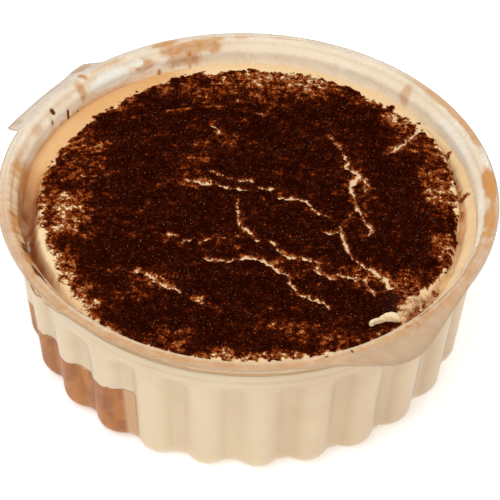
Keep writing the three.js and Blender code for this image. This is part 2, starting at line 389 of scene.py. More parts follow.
# Cocoa smeared on the cream beside the dusting: (x, y, half length, half width) in millimetres
SMUDGES = [
    (61.4, 9.6, 1.4, 0.9), (57.4, 27.2, 1.3, 0.7), (53.0, -29.5, 0.8, 0.8), (50.8, -36.8, 0.5, 0.5),
]  # fmt: skip


def route_distance(x, y, route):
    """Distance in millimetres from points to a route of straight stretches."""
    nearest = np.full(np.shape(x), 1e9)
    for (x0, y0), (x1, y1) in zip(route, route[1:]):
        run_x, run_y = x1 - x0, y1 - y0
        along = ((x - x0) * run_x + (y - y0) * run_y) / (run_x**2 + run_y**2)
        along = np.clip(along, 0, 1)
        nearest = np.minimum(nearest, np.hypot(x - x0 - along * run_x, y - y0 - along * run_y))
    return nearest


def crack_mask(x, y):
    """1 inside the cracks, 0 away from them. Lengths in millimetres."""
    wander_x, wander_y = (
        place
        + 1.5 * unevenness(x, y, 2.2, seed)
        + 0.9 * unevenness(x, y, 0.9, seed + 2, 1)
        for place, seed in ((x, 11), (y, 17))
    )
    fray = 0.3 + 0.95 * lattice_noise(x, y, 2.4, 23)
    mask = np.zeros(np.shape(x))
    for half_width, route in CRACKS:
        gap = route_distance(wander_x, wander_y, route)
        crumbled = 0.34 * soft(1.4 - gap / 1.1)
        opened = soft((half_width * fray + 0.22 - gap) / 0.42)
        mask = np.maximum(mask, np.maximum(crumbled, opened))
    return mask


def cocoa_cover(x, y, azimuth, radius):
    """How thickly the cocoa lies, from 0 to 1. Lengths in millimetres."""
    edge = round_table(azimuth, COCOA_EDGE) + 2.6 * unevenness(x, y, 2.6, 31)
    edge = edge + 1.6 * unevenness(x, y, 1.3, 35, 1)
    fade = 1.3 + 3.2 * sector(azimuth, -70, 26, 14)
    cover = soft((edge + 0.15 * fade - radius) / fade + 0.5)
    for centre_x, centre_y, half_width, half_depth, strength in THIN_PLACES:
        gap = np.hypot((x - centre_x) / half_width, (y - centre_y) / half_depth)
        cover = cover * (1 - strength * soft(1.25 - gap))
    ragged = 0.14 * soft((radius - edge + 5) / 5)
    cover = cover * (1 - ragged) * (0.93 + 0.14 * layered_noise(x, y, 9.0, 37))
    return np.clip(cover, 0, 1) * (1 - crack_mask(x, y))


def side_gap(azimuth):
    """How deep the cream has shrunk from the wall, from 0 to 1, at the left."""
    return soft(1.5 - np.abs(turn(azimuth, math.radians(-77))) / math.radians(22))


def side_ridge(azimuth):
    """How strongly cream is smeared up the wall, from 0 to 1, at the right."""
    return soft(1.6 - np.abs(turn(azimuth, math.radians(88))) / math.radians(32))


def sector(azimuth, middle, half, fade):
    """1 within half of the middle azimuth, fading to 0; all in degrees."""
    gap = np.abs(turn(azimuth, math.radians(middle)))
    return soft((math.radians(half + fade) - gap) / math.radians(fade))


# Relief of the top in millimetres: the rounding of its edge, the groove and the heap beside the
# wall at the right, the gap at the left, and the pressed ridge with the groove behind it
EDGE_FALL = 0.55
SIDE_GROOVE = 1.7
SIDE_HEAP = 1.3
SIDE_BUMPS = 1.6
GAP_DEPTH = 7.0
GAP_BUMPS = 3.0
CREASE_HEIGHT = 0.45
CREASE_DEPTH = 1.1
DOME_RADIUS = 60 * MM


class TopPlaces:
    """Places on the filling's top, with what lies there. x and y are in millimetres."""

    def __init__(self, tub, cream, azimuth, radius):
        self.azimuth = azimuth
        self.radius = radius
        self.x = radius * np.sin(azimuth) / MM
        self.y = -radius * np.cos(azimuth) / MM
        wall = wall_radius(tub, azimuth, cream.level) - tub.wall + cream.reach
        edge = np.minimum(round_table(azimuth, CREAM_EDGE) * MM, wall - 0.5 * MM)
        self.edge = edge + 1.3 * MM * unevenness(self.x, self.y, 3.6, 43)
        self.beyond = np.clip((radius - self.edge) / (wall - self.edge), 0, 1)
        self.gap = side_gap(azimuth)
        self.ridge = side_ridge(azimuth)
        self.groove = np.sin(np.pi * np.clip(self.beyond * 2.2, 0, 1))
        # Groove at the right, whose colour holds coffee stain and painted shade
        self.wet_and_shaded = self.ridge * np.clip(self.groove, 0, 1)
        self.bumpy = unevenness(self.x, self.y, 4.2, 59)
        self.cracks = crack_mask(self.x, self.y)
        self.crease = self.broken_crease()
        self.dirty = sector(azimuth, 49, 9, 8) * soft((radius - self.edge + 1.0 * MM) / (2 * MM))
        self.patch = soft(1.4 - np.hypot((self.x - 47) / 7.5, (self.y + 37) / 7))

    def broken_crease(self):
        """Ridge near the far side, broken here and there, from 0 to 1."""
        broken = 0.4 + 0.5 * lattice_noise(self.x, self.y, 4.0, 69)
        return soft(1.0 - route_distance(self.x, self.y, CREASE) / 1.1) * broken


def top_waves(top):
    """Waves of the top and its fall, groove, heap and gap beside the wall, in millimetres."""
    x, y, azimuth, beyond = top.x, top.y, top.azimuth, top.beyond
    waves = 0.5 * unevenness(x, y, 26.0, 51, 2)
    waves = waves + 0.16 * unevenness(x, y, 7.0, 53, 1)
    waves = waves + 0.25 * sector(azimuth, 175, 55, 25) * soft((top.radius / MM - 50) / 10)
    far = sector(azimuth, 185, 50, 20)
    rounding = soft((top.radius - top.edge + 1.3 * MM) / (2.6 * MM))
    fall = EDGE_FALL * rounding * (1 - 0.75 * soft(beyond)) * (1 - far)
    heap = np.sin(np.pi * np.clip((beyond - 0.35) / 1.1, 0, 1))
    valley = SIDE_GROOVE * top.groove - (SIDE_HEAP + SIDE_BUMPS * top.bumpy) * heap
    drop = (GAP_DEPTH + GAP_BUMPS * layered_noise(x, y, 5.0, 57)) * soft(beyond * 2.0)
    return waves - fall * (1 - top.gap) - top.ridge * valley - top.gap * drop


def top_height(top, cream, cocoa, cover):
    """Height of the top, with the cocoa's lumps, the cracks and the pressed ridge."""
    dome = cream.dome * np.clip(1 - (top.radius / DOME_RADIUS) ** 2, 0, None)
    lumps = layered_noise(top.x, top.y, 1.15, 61, 2) - 0.35 + 0.6 * unevenness(top.x, top.y, 3.4, 67, 1)
    height = cream.level + dome + MM * top_waves(top)
    height = height + cocoa.relief * soft(cover * 1.5) * lumps
    height = height - cream.crack_depth * top.cracks
    groove = soft(1.4 - route_distance(top.x, top.y, CREASE_GROOVE) / 1.5)
    return height + MM * (CREASE_HEIGHT * top.crease - CREASE_DEPTH * groove)


def top_tints(top):
    """Coffee stain, with painted shade in the groove at the right, and warmth of the bare cream, each
    from 0 to 1.
    """
    azimuth = top.azimuth
    blotch = 0.45 + 1.2 * (layered_noise(top.x, top.y, 3.2, 71) - 0.1)
    stain = top.gap * sector(azimuth, -82, 13, 16) * soft(top.beyond * 3.0) + 0.35 * top.dirty
    # In the groove at the right the stain holds coffee and painted shade
    stain = stain + top.wet_and_shaded * (0.4 + 0.5 * sector(azimuth, 102, 16, 14))
    stain = np.clip(stain * blotch, 0, 1)
    stain = np.maximum(stain, 0.34 * top.patch * blotch)
    stain = np.maximum(stain, 0.25 * top.cracks)
    beside = soft((top.radius / MM - round_table(azimuth, COCOA_EDGE) + 1.0) / 2.0)
    stain = np.maximum(stain, 0.08 * blotch * beside * sector(azimuth, 0, 50, 15))
    streak = layered_noise(np.degrees(azimuth) + 400, top.radius / MM, 9.0, 73)
    warm = (0.5 + 0.7 * streak) * sector(azimuth, -125, 28, 14) + 0.3 * top.ridge
    warm = warm + 0.35 * sector(azimuth, -5, 45, 20) + 0.1 * sector(azimuth, 180, 40, 15)
    return stain, np.clip(beside * warm, 0, 1)


def with_crumbs(top, cover):
    """Cocoa cover, worn along the ridge, with the crumbs that lie on the bare cream."""
    crumbs = 0.05 * top.dirty + 0.1 * top.patch + 0.1 * top.wet_and_shaded * sector(top.azimuth, 108, 14, 6)
    for smudge_x, smudge_y, half_length, half_width in SMUDGES:
        ragged_x = top.x - smudge_x + 1.2 * top.bumpy
        ragged_y = top.y - smudge_y - 0.3 * ragged_x
        away = np.hypot(ragged_x / half_length, ragged_y / half_width)
        crumbs = np.maximum(crumbs, 0.4 * soft(1.6 - away))
    return np.maximum(cover * (1 - 0.5 * top.crease), crumbs * (1 - top.cracks))


def top_fields(tub, cream, cocoa, azimuth, radius):
    """Height of the filling's top, with its cocoa cover, coffee stain and painted groove shade, and
    warmth.
    """
    top = TopPlaces(tub, cream, azimuth, radius)
    cover = cocoa_cover(top.x, top.y, azimuth, radius / MM)
    return top_height(top, cream, cocoa, cover), with_crumbs(top, cover), *top_tints(top)


def sponge_top(sponge, azimuth, radius):
    """Height of the slab's top."""
    climb = sponge.rise * radius * np.cos(turn(azimuth, sponge.rise_azimuth))
    uneven = unevenness(azimuth * 55 + 90, radius / MM + 90, 5.0, 81)
    frayed = unevenness(azimuth * 55 + 90, radius / MM + 90, 1.5, 83, 1)
    return sponge.top + climb + MM * (3.4 * uneven + 1.0 * frayed)


SPONGE_SPREAD = 7 * MM


def sponge_edge(sponge, azimuth):
    """Radius of the slab's own outline from the tub's axis, wide where the wall holds it."""
    gap = turn(azimuth, sponge.azimuth)
    aside = sponge.offset * np.sin(gap)
    outline = sponge.offset * np.cos(gap) + np.sqrt(sponge.radius**2 - aside**2)
    held = soft((sponge.held_half - np.abs(gap)) / math.radians(1.2))
    return outline + SPONGE_SPREAD * held


# ---------------------------------------------------------------- meshes


def show(name, content):
    """New object in the scene for a mesh, a lamp or a camera."""
    made = bpy.data.objects.new(name, content)
    bpy.context.scene.collection.objects.link(made)
    return made


def add_piece(name, points, faces, material, smooth=True):
    """New mesh object at the origin from points and faces."""
    mesh = bpy.data.meshes.new(name)
    listed = faces if isinstance(faces, list) else faces.tolist()
    mesh.from_pydata(np.asarray(points).tolist(), [], listed)
    mesh.validate()
    mesh.shade_smooth() if smooth else mesh.shade_flat()
    mesh.materials.append(material)
    return show(name, mesh)


def measures(piece):
    """Points of a piece, with the azimuth and the radius of each."""
    points = np.array([vertex.co for vertex in piece.data.vertices])
    return points, np.arctan2(points[:, 0], -points[:, 1]), np.hypot(points[:, 0], points[:, 1])


def add_field(piece, name, values):
    """Stores one number for each point of a piece."""
    field = piece.data.attributes.new(name, "FLOAT", "POINT")
    field.data.foreach_set("value", np.asarray(values, np.float32))


def hand_over(piece, node):
    """Lets a finished piece ride on the body in place of its CAD node."""
    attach(piece, BODY)
    if node:
        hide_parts(node)


def full_turn(count):
    """Azimuths evenly spaced once round the axis."""
    return 2 * np.pi * np.arange(count) / count


def around(azimuth, radius, height):
    """Points from azimuth, radius and height."""
    azimuth, radius, height = np.broadcast_arrays(azimuth, radius, height)
    return np.stack([radius * np.sin(azimuth), -radius * np.cos(azimuth), height], -1)


def ring_steps(count):
    """Number of each point in a ring, and of the point after it."""
    here = np.arange(count)
    return here, (here + 1) % count


def ring_faces(rows, columns, closed=True):
    """Quads between rows of points that run round the axis."""
    columns_used = np.arange(columns if closed else columns - 1)
    after = (columns_used + 1) % columns
    low = (np.arange(rows - 1) * columns)[:, None]
    quads = [low + columns_used, low + after, low + columns + after, low + columns + columns_used]
    return np.stack(quads, -1).reshape(-1, 4)


def ring_body(name, azimuths, rings, material):
    """Closed solid from rings, each as (radius, height) over the same azimuths."""
    columns = len(azimuths)
    points = [around(azimuths, radius, height) for radius, height in rings]
    start = np.array([[0, 0, float(np.mean(rings[0][1]))]])
    end = np.array([[0, 0, float(np.mean(rings[-1][1]))]])
    points = np.concatenate([*points, start, end])
    faces = ring_faces(len(rings), columns).tolist()
    here, after = ring_steps(columns)
    base = len(rings) * columns
    last = (len(rings) - 1) * columns
    faces += np.stack([np.full(columns, base), after, here], -1).tolist()
    faces += np.stack([np.full(columns, base + 1), last + here, last + after], -1).tolist()
    return add_piece(name, points, faces, material)


def disc_rings(rings):
    """Even disc: the ring, the azimuth of every point, and the triangles between them."""
    ring_numbers = [np.zeros(1)]
    azimuths = [np.zeros(1)]
    faces = []
    start = 1
    inner_start = 0
    for ring in range(1, rings + 1):
        count = 6 * ring
        ring_numbers.append(np.full(count, ring))
        azimuths.append(full_turn(count))
        sixth, step = np.divmod(np.arange(count), ring)
        outer = start + np.arange(count)
        outer_next = start + (np.arange(count) + 1) % count
        inner_count = max(count - 6, 1)
        inner = inner_start + (sixth * (ring - 1) + step) % inner_count
        faces.append(np.stack([outer, outer_next, inner], -1))
        joined = step < ring - 1
        inner_next = inner_start + (sixth * (ring - 1) + step + 1) % inner_count
        faces.append(np.stack([inner, outer_next, inner_next], -1)[joined])
        inner_start = start
        start += count
    return np.concatenate(ring_numbers), np.concatenate(azimuths), np.concatenate(faces)


def weld(piece, distance):
    """Joins points that lie together and turns the faces outwards."""
    shape = bmesh.new()
    shape.from_mesh(piece.data)
    bmesh.ops.remove_doubles(shape, verts=shape.verts, dist=distance)
    bmesh.ops.dissolve_degenerate(shape, dist=distance / 2, edges=shape.edges)
    bmesh.ops.recalc_face_normals(shape, faces=shape.faces)
    shape.to_mesh(piece.data)
    shape.free()
    piece.data.shade_smooth()


# ---------------------------------------------------------------- nodes


class Wiring:
    """Adds nodes to one tree."""

    def __init__(self, tree):
        self.tree = tree

    def node(self, kind, settings=None, sockets=None):
        """One node: its settings first, then values or links for its sockets."""
        made = self.tree.nodes.new(kind)
        for name, value in (settings or {}).items():
            if name == "stops":
                self.set_stops(made.color_ramp, value)
            else:
                setattr(made, name, value)
        for name, value in (sockets or {}).items():
            socket = made.inputs[name]
            if isinstance(value, Signal):
                self.tree.links.new(value.socket, socket)
            elif isinstance(value, bpy.types.NodeSocket):
                self.tree.links.new(value, socket)
            else:
                socket.default_value = value
        return made

    def set_stops(self, ramp, stops):
        """Colours of a ramp, each as (place, colour)."""
        while len(ramp.elements) < len(stops):
            ramp.elements.new(1.0)
        for element, (place, value) in zip(ramp.elements, stops):
            element.position = place
            element.color = (*value, 1.0)

    def out(self, kind, settings=None, sockets=None, output=0):
        """One node's output socket."""
        return self.node(kind, settings, sockets).outputs[output]

    def signal(self, kind, settings=None, sockets=None, output=0):
        """One node's output, ready for arithmetic."""
        return Signal(self, self.out(kind, settings, sockets, output))

    def field(self, name):
        """A number stored on the piece's points."""
        return self.signal("ShaderNodeAttribute", {"attribute_name": name}, output="Fac")

    def millimetres(self):
        """Object coordinates in millimetres."""
        place = self.out("ShaderNodeTexCoord", output="Object")
        return self.out("ShaderNodeVectorMath", {"operation": "SCALE"}, {0: place, "Scale": 1 / MM})

    def noise(self, place, size, detail=2.0, roughness=0.5):
        """Noise from 0 to 1 with lumps of a size in millimetres."""
        sockets = {"Vector": place, "Scale": 1.0 / size, "Detail": detail, "Roughness": roughness}
        return self.signal("ShaderNodeTexNoise", {"normalize": True}, sockets)

    def cells(self, place, size):
        """Distance to the nearest of scattered points, in cells of a size in millimetres."""
        return self.signal("ShaderNodeTexVoronoi", {}, {"Vector": place, "Scale": 1.0 / size})

    def stretch(self, place, x, y, z):
        """Coordinates scaled along each axis."""
        return self.out("ShaderNodeVectorMath", {"operation": "MULTIPLY"}, {0: place, 1: (x, y, z)})

    def blend(self, factor, first, second):
        """Mix of two colours."""
        sockets = {0: factor, 6: self.rgba(first), 7: self.rgba(second)}
        return self.out("ShaderNodeMix", {"data_type": "RGBA"}, sockets, 2)

    def rgba(self, value):
        """A link as it is, or a colour made opaque."""
        return value if isinstance(value, bpy.types.NodeSocket) else (*value, 1.0)

    def bump(self, height, distance, strength):
        """Normal bent by a height from 0 to 1, with the depth of that step in metres."""
        sockets = {"Height": height, "Distance": distance, "Strength": strength}
        return self.out("ShaderNodeBump", {}, sockets, "Normal")


class Signal:
    """A socket that Python's arithmetic can be written on."""

    def __init__(self, wiring, socket):
        self.wiring = wiring
        self.socket = socket

    def maths(self, operation, first, second):
        """One kind of arithmetic on two values."""
        sockets = {0: first, 1: second}
        return self.wiring.signal("ShaderNodeMath", {"operation": operation}, sockets)

    def __add__(self, other):
        return self.maths("ADD", self, other)

    def __sub__(self, other):
        return self.maths("SUBTRACT", self, other)

    def __rsub__(self, other):
        return self.maths("SUBTRACT", other, self)

    def __mul__(self, other):
        return self.maths("MULTIPLY", self, other)

    def __truediv__(self, other):
        return self.maths("DIVIDE", self, other)

    __radd__ = __add__
    __rmul__ = __mul__

    def between(self, low, high):
        """Smooth step from 0 at low to 1 at high."""
        sockets = {"Value": self, "From Min": low, "From Max": high}
        settings = {"interpolation_type": "SMOOTHSTEP"}
        return self.wiring.signal("ShaderNodeMapRange", settings, sockets)

    def held(self):
        """Kept within 0 and 1."""
        return self.wiring.signal("ShaderNodeClamp", {}, {"Value": self})


def new_material(name):
    """Wiring of an empty material, its coordinates in millimetres, and a function that ends it."""
    material = bpy.data.materials.new(name)
    material.use_nodes = True
    material.node_tree.nodes.clear()
    wiring = Wiring(material.node_tree)

    def finish(**sockets):
        """Principled shader with the sockets set, on the material that is returned."""
        named = {}
        for key, value in sockets.items():
            named[key.replace("_", " ").title().replace("Ior", "IOR")] = value
        shader = wiring.node("ShaderNodeBsdfPrincipled", {}, named)
        wiring.node("ShaderNodeOutputMaterial", {}, {"Surface": shader.outputs[0]})
        return material

    return wiring, wiring.millimetres(), finish


# ---------------------------------------------------------------- materials


# Paints that have no setting of their own
PRESSED_PALE = paint(212, 192, 166)
CURL_PALE = paint(248, 226, 190)
CURL_WARM = paint(238, 204, 158)
SPONGE_PORE = paint(214, 160, 108)
SPONGE_LIGHT = paint(206, 152, 100)
SPONGE_CREAMY = paint(214, 182, 140)
GRAIN_STOPS = [(0.3, paint(46, 12, 3)), (0.58, paint(84, 29, 8)), (0.84, paint(122, 52, 18))]
FLOOR_SHADE = paint(250, 250, 249)
FLOOR_WHITE = paint(254, 254, 253)

# How far red, green and blue light travels in the cream
SIDE_GLOW = (2.4 * MM, 1.6 * MM, 0.9 * MM)
CURL_GLOW = (2.0 * MM, 1.4 * MM, 0.9 * MM)


def plastic_material(look):
    """Clear plastic, milkier along its flange, with fine drawn streaks."""
    wiring, place, finish = new_material("clear_plastic")
    cloud = wiring.noise(place, 7.0, 3.0)
    drawn = wiring.noise(wiring.stretch(place, 1.0, 1.0, 0.12), 1.4, 2.0)
    edge_on = wiring.signal("ShaderNodeLayerWeight", {}, {"Blend": 0.3}, output="Fresnel")
    lip = wiring.field("lip")
    rim = wiring.field("rim")
    base = wiring.blend(lip, look.haze, look.edge_tint)
    hidden = (look.clouding + look.rim_clouding * rim) * (0.6 + 0.8 * cloud) + 0.35 * lip
    alpha = (hidden + 0.10 * edge_on).held()
    normal = wiring.bump(drawn * 0.6 + cloud * 0.4, 0.05 * MM, 0.5)
    return finish(base_color=base, alpha=alpha, roughness=0.16 + 0.12 * cloud, ior=1.49, normal=normal)


def film_material(look):
    """Thin cream, coffee and cocoa dried on the inside of the wall and on the flange, with painted
    shade below the flange.
    """
    wiring, place, finish = new_material("wall_film")
    fine = wiring.noise(place, 0.9, 3.0, 0.6)
    patchy = wiring.noise(place, 2.8, 3.0, 0.6)
    uneven = (fine - 0.5) * 0.55 + (patchy - 0.5) * 0.7
    brown = (wiring.field("brown") + uneven * 0.8).between(0.0, 1.0)
    dark = (wiring.field("dark") + uneven * 0.8).between(0.3, 0.6)
    pale = (wiring.field("pale") + uneven).between(0.3, 0.8)
    base = wiring.blend(brown, look.milk_film, look.coffee_film)
    base = wiring.blend(pale, base, look.pale_film)
    base = wiring.blend(dark, base, look.dark_film)
    film = wiring.field("film")
    alpha = (film * (0.93 + 0.9 * uneven * (1.5 - film)) + 0.5 * dark).held()
    normal = wiring.bump(fine, 0.08 * MM, 0.4)
    return finish(
        base_color=base, alpha=alpha, roughness=0.4, specular_ior_level=0.15, normal=normal
    )


def cream_side_material(look):
    """Cream pressed against the wall: faint bubbles, coffee-tinted clouds and painted shade."""
    wiring, place, finish = new_material("cream_side")
    cloud = wiring.noise(place, 14.0, 3.0)
    fine = wiring.noise(place, 1.6, 3.0)
    # The warm field holds coffee clouds and painted shade
    warm = (wiring.field("warm") + 0.35 * (cloud - 0.45)).held()
    base = wiring.blend(warm, look.side, look.side_clouds_and_shade)
    pale = wiring.field("pale") * (0.5 + 0.5 * fine)
    base = wiring.blend(pale.held(), base, PRESSED_PALE)
    return finish(
        base_color=base,
        roughness=0.42 + 0.1 * fine,
        subsurface_weight=0.25,
        subsurface_radius=SIDE_GLOW,
        subsurface_scale=1.0,
        coat_weight=0.35,
        coat_roughness=0.22,
        normal=wiring.bump(fine, 0.05 * MM, 0.4),
    )


def crust_material(cream, cocoa):
    """Top of the filling: cream, coffee stains and painted groove shade, grainy cocoa with painted
    glints.
    """
    wiring, place, finish = new_material("cocoa_crust")
    patchy = wiring.noise(place, 3.4, 2.0)
    coarse = wiring.noise(place, 1.5, 3.0, 0.6)
    fine = wiring.noise(place, 0.6, 3.0, 0.6)
    broad = wiring.noise(place, 11.0, 2.0)
    cover = wiring.field("cocoa")
    stain = wiring.field("stain")
    grain = (patchy - 0.5) * 1.5 + (coarse - 0.5) * 2.0 + (fine - 0.5) * 1.5
    amount = 1.2 * cover - 0.34 + grain + (broad - 0.5) * 0.5
    warm = (wiring.field("warm") + 0.3 * (broad - 0.5) + 0.3 * (coarse - 0.5)).held()
    warm = (warm + 0.35 * cover.between(0.05, 0.5)).held()
    bare = wiring.blend(warm, cream.fresh, cream.shade)
    # Coffee stain, with painted shade in the groove at the right
    bare = wiring.blend((stain * (0.7 + 0.6 * coarse)).held(), bare, cream.wet_and_shaded)
    stops = [(0.02, cocoa.thin), (0.23, cocoa.brown), (0.46, cocoa.dark), (0.92, cocoa.deep)]
    powder = wiring.out("ShaderNodeValToRGB", {"stops": stops}, {"Fac": amount}, "Color")
    # Painted highlights: light specks mixed into the cocoa's colour, as grains that catch the light
    sparkle = wiring.cells(place, 1.0)
    lit = (0.26 - sparkle).between(0.0, 0.12) * fine.between(0.5, 0.62)
    powder = wiring.blend(lit * 0.5, powder, cocoa.glint)
    dusted = amount.between(-0.2, 0.02) * cover.between(0.03, 0.16)
    base = wiring.blend(dusted, bare, powder)
    height = dusted * (0.5 + 0.8 * coarse + 0.6 * fine) + 0.12 * fine
    return finish(
        base_color=base,
        roughness=(0.6 + 0.3 * dusted - 0.25 * stain).held(),
        specular_ior_level=0.0,
        coat_weight=(stain * 0.3).held(),
        coat_roughness=0.35,
        normal=wiring.bump(height, 0.34 * MM, 0.9),
    )


def curl_material():
    """Bare whipped cream, matt and slightly crumbly."""
    wiring, place, finish = new_material("curl_cream")
    fine = wiring.noise(place, 0.9, 4.0, 0.6)
    broad = wiring.noise(place, 4.0, 2.0)
    base = wiring.blend((broad * 0.5 + 0.3 * fine).held(), CURL_PALE, CURL_WARM)
    return finish(
        base_color=base,
        roughness=0.55,
        subsurface_weight=0.2,
        subsurface_radius=CURL_GLOW,
        subsurface_scale=1.0,
        normal=wiring.bump(fine, 0.2 * MM, 0.7),
    )


def sponge_material(look):
    """Coffee-soaked sponge pressed flat by the wall, with pores and darker runs."""
    wiring, place, finish = new_material("soaked_sponge")
    pores = wiring.cells(place, 2.1)
    cloud = wiring.noise(wiring.stretch(place, 1.0, 1.0, 0.55), 5.5, 4.0, 0.6)
    fine = wiring.noise(place, 0.8, 3.0)
    base = wiring.blend(cloud.between(0.34, 0.68), look.crumb_dark, look.crumb)
    base = wiring.blend((0.3 - pores).between(0.0, 0.25) * 0.35, base, SPONGE_PORE)
    base = wiring.blend(fine.between(0.5, 0.72) * 0.3, base, SPONGE_LIGHT)
    base = wiring.blend((wiring.field("pale") * (0.5 + fine)).held(), base, SPONGE_CREAMY)
    return finish(
        base_color=base,
        roughness=0.5,
        coat_weight=0.1,
        coat_roughness=0.22,
        specular_ior_level=0.2,
        normal=wiring.bump(cloud * 0.6 + fine * 0.4, 0.2 * MM, 0.5),
    )


def grain_material(cocoa):
    """Loose cocoa: dark, matt, each grain a little different, with painted glints."""
    wiring, place, finish = new_material("cocoa_grains")
    tone = wiring.noise(place, 0.7, 2.0)
    broad = wiring.noise(place, 5.0, 2.0)
    shade = tone * 0.75 + broad * 0.25
    base = wiring.out("ShaderNodeValToRGB", {"stops": GRAIN_STOPS}, {"Fac": shade}, "Color")
    # Painted highlights: light specks in the grains' colour
    glint = wiring.noise(place, 0.3, 1.0).between(0.62, 0.7)
    base = wiring.blend(glint * 0.3, base, cocoa.glint)
    return finish(base_color=base, roughness=0.8, specular_ior_level=0.0)


def floor_material():
    """Plain pale sheet with the faintest mottling."""
    wiring, place, finish = new_material("pale_floor")
    base = wiring.blend(wiring.noise(place, 40.0, 2.0), FLOOR_SHADE, FLOOR_WHITE)
    return finish(base_color=base, roughness=0.85, emission_color=WHITE, emission_strength=0.38)


# ---------------------------------------------------------------- geometry nodes


def new_group(name, inputs):
    """Geometry tree with named inputs: {name: (socket type, default)}."""
    group = bpy.data.node_groups.new(name, "GeometryNodeTree")
    face = group.interface
    face.new_socket("Geometry", in_out="INPUT", socket_type="NodeSocketGeometry")
    identifiers = {}
    for label, (kind, default) in inputs.items():
        socket = face.new_socket(label, in_out="INPUT", socket_type=kind)
        if default is not None:
            socket.default_value = default
        identifiers[label] = socket.identifier
    face.new_socket("Geometry", in_out="OUTPUT", socket_type="NodeSocketGeometry")
    wiring = Wiring(group)
    given = wiring.node("NodeGroupInput").outputs
    return group, wiring, given, identifiers


def end_group(wiring, geometry, material):
    """Paints what the tree has made and hands it out."""
    sockets = {"Geometry": geometry, "Material": material}
    painted = wiring.out("GeometryNodeSetMaterial", {}, sockets)
    wiring.node("NodeGroupOutput", {}, {"Geometry": painted})


def run_group(source, group, identifiers, values, name):
    """Mesh object that the tree makes from the source piece."""
    modifier = source.modifiers.new(group.name, "NODES")
    modifier.node_group = group
    for label, value in values.items():
        modifier[identifiers[label]] = value
    depsgraph = bpy.context.evaluated_depsgraph_get()
    mesh = bpy.data.meshes.new_from_object(source.evaluated_get(depsgraph), depsgraph=depsgraph)
    source.modifiers.remove(modifier)
    mesh.name = name
    return show(name, mesh)


def repeat_round_group():
    """Tree that sets a strip side by side round the axis and welds the copies."""
    inputs = {
        "Count": ("NodeSocketInt", 25),
        "Weld": ("NodeSocketFloat", 0.01 * MM),
        "Material": ("NodeSocketMaterial", None),
    }
    group, wiring, given, identifiers = new_group("repeat_round", inputs)
    spots = wiring.out("GeometryNodePoints", {}, {"Count": given["Count"]})
    step = wiring.signal("GeometryNodeInputIndex") * (2 * math.pi) / Signal(wiring, given["Count"])
    spin = wiring.out("ShaderNodeCombineXYZ", {}, {"Z": step})
    sockets = {"Points": spots, "Instance": given["Geometry"], "Rotation": spin}
    copies = wiring.out("GeometryNodeInstanceOnPoints", {}, sockets)
    real = wiring.out("GeometryNodeRealizeInstances", {}, {"Geometry": copies})
    sockets = {"Geometry": real, "Distance": given["Weld"]}
    welded = wiring.out("GeometryNodeMergeByDistance", {}, sockets)
    end_group(wiring, welded, given["Material"])
    return group, identifiers


# Least and most scale and turn of a grain, the size of its dents and their depth per radius
GRAIN_SCALES = ((0.45, 0.45, 0.35), (1.35, 1.35, 1.0))
GRAIN_TURNS = ((-0.6, -0.6, 0.0), (0.6, 0.6, 6.28))
GRAIN_DENTS = 0.5 * MM
DENT_DEPTH = 1.6


def scatter_group():
    """Tree that scatters lumpy grains where the piece's scatter field allows them."""
    inputs = {
        "Density": ("NodeSocketFloat", 1.0),
        "Radius": ("NodeSocketFloat", 0.2 * MM),
        "Detail": ("NodeSocketInt", 1),
        "Seed": ("NodeSocketInt", 1),
        "Material": ("NodeSocketMaterial", None),
    }
    group, wiring, given, identifiers = new_group("scatter_grains", inputs)
    named = {"data_type": "FLOAT"}
    allowed = wiring.signal("GeometryNodeInputNamedAttribute", named, {"Name": "scatter"})
    density = allowed * Signal(wiring, given["Density"])
    sockets = {"Mesh": given["Geometry"], "Density": density, "Seed": given["Seed"]}
    spread = {"distribute_method": "RANDOM"}
    spots = wiring.out("GeometryNodeDistributePointsOnFaces", spread, sockets, "Points")
    sockets = {"Radius": given["Radius"], "Subdivisions": given["Detail"]}
    ball = wiring.out("GeometryNodeMeshIcoSphere", {}, sockets, "Mesh")
    size, spin = (
        wiring.out(
            "FunctionNodeRandomValue",
            {"data_type": "FLOAT_VECTOR"},
            {0: least, 1: most, "Seed": given["Seed"]},
        )
        for least, most in (GRAIN_SCALES, GRAIN_TURNS)
    )
    sockets = {"Points": spots, "Instance": ball, "Rotation": spin, "Scale": size}
    copies = wiring.out("GeometryNodeInstanceOnPoints", {}, sockets)
    real = wiring.out("GeometryNodeRealizeInstances", {}, {"Geometry": copies})
    place = wiring.out("GeometryNodeInputPosition")
    sockets = {"Vector": place, "Scale": 1 / GRAIN_DENTS, "Detail": 2.0}
    rough = wiring.out("ShaderNodeTexNoise", {}, sockets, "Color")
    sockets = {0: rough, 1: (0.5, 0.5, 0.5)}
    centred = wiring.out("ShaderNodeVectorMath", {"operation": "SUBTRACT"}, sockets)
    sockets = {0: centred, "Scale": Signal(wiring, given["Radius"]) * DENT_DEPTH}
    push = wiring.out("ShaderNodeVectorMath", {"operation": "SCALE"}, sockets)
    dented = wiring.out("GeometryNodeSetPosition", {}, {"Geometry": real, "Offset": push})
    end_group(wiring, dented, given["Material"])
    return group, identifiers


# ---------------------------------------------------------------- tub


STRIP_COLUMNS = 33
FLANGE_COLUMNS = 800
TUB_WELD = 0.02 * MM
BEAD_HEIGHT = 0.16 * MM
# A tab droops by the distance past the bead, as a share, to this power
DROOP_POWER = 1.3


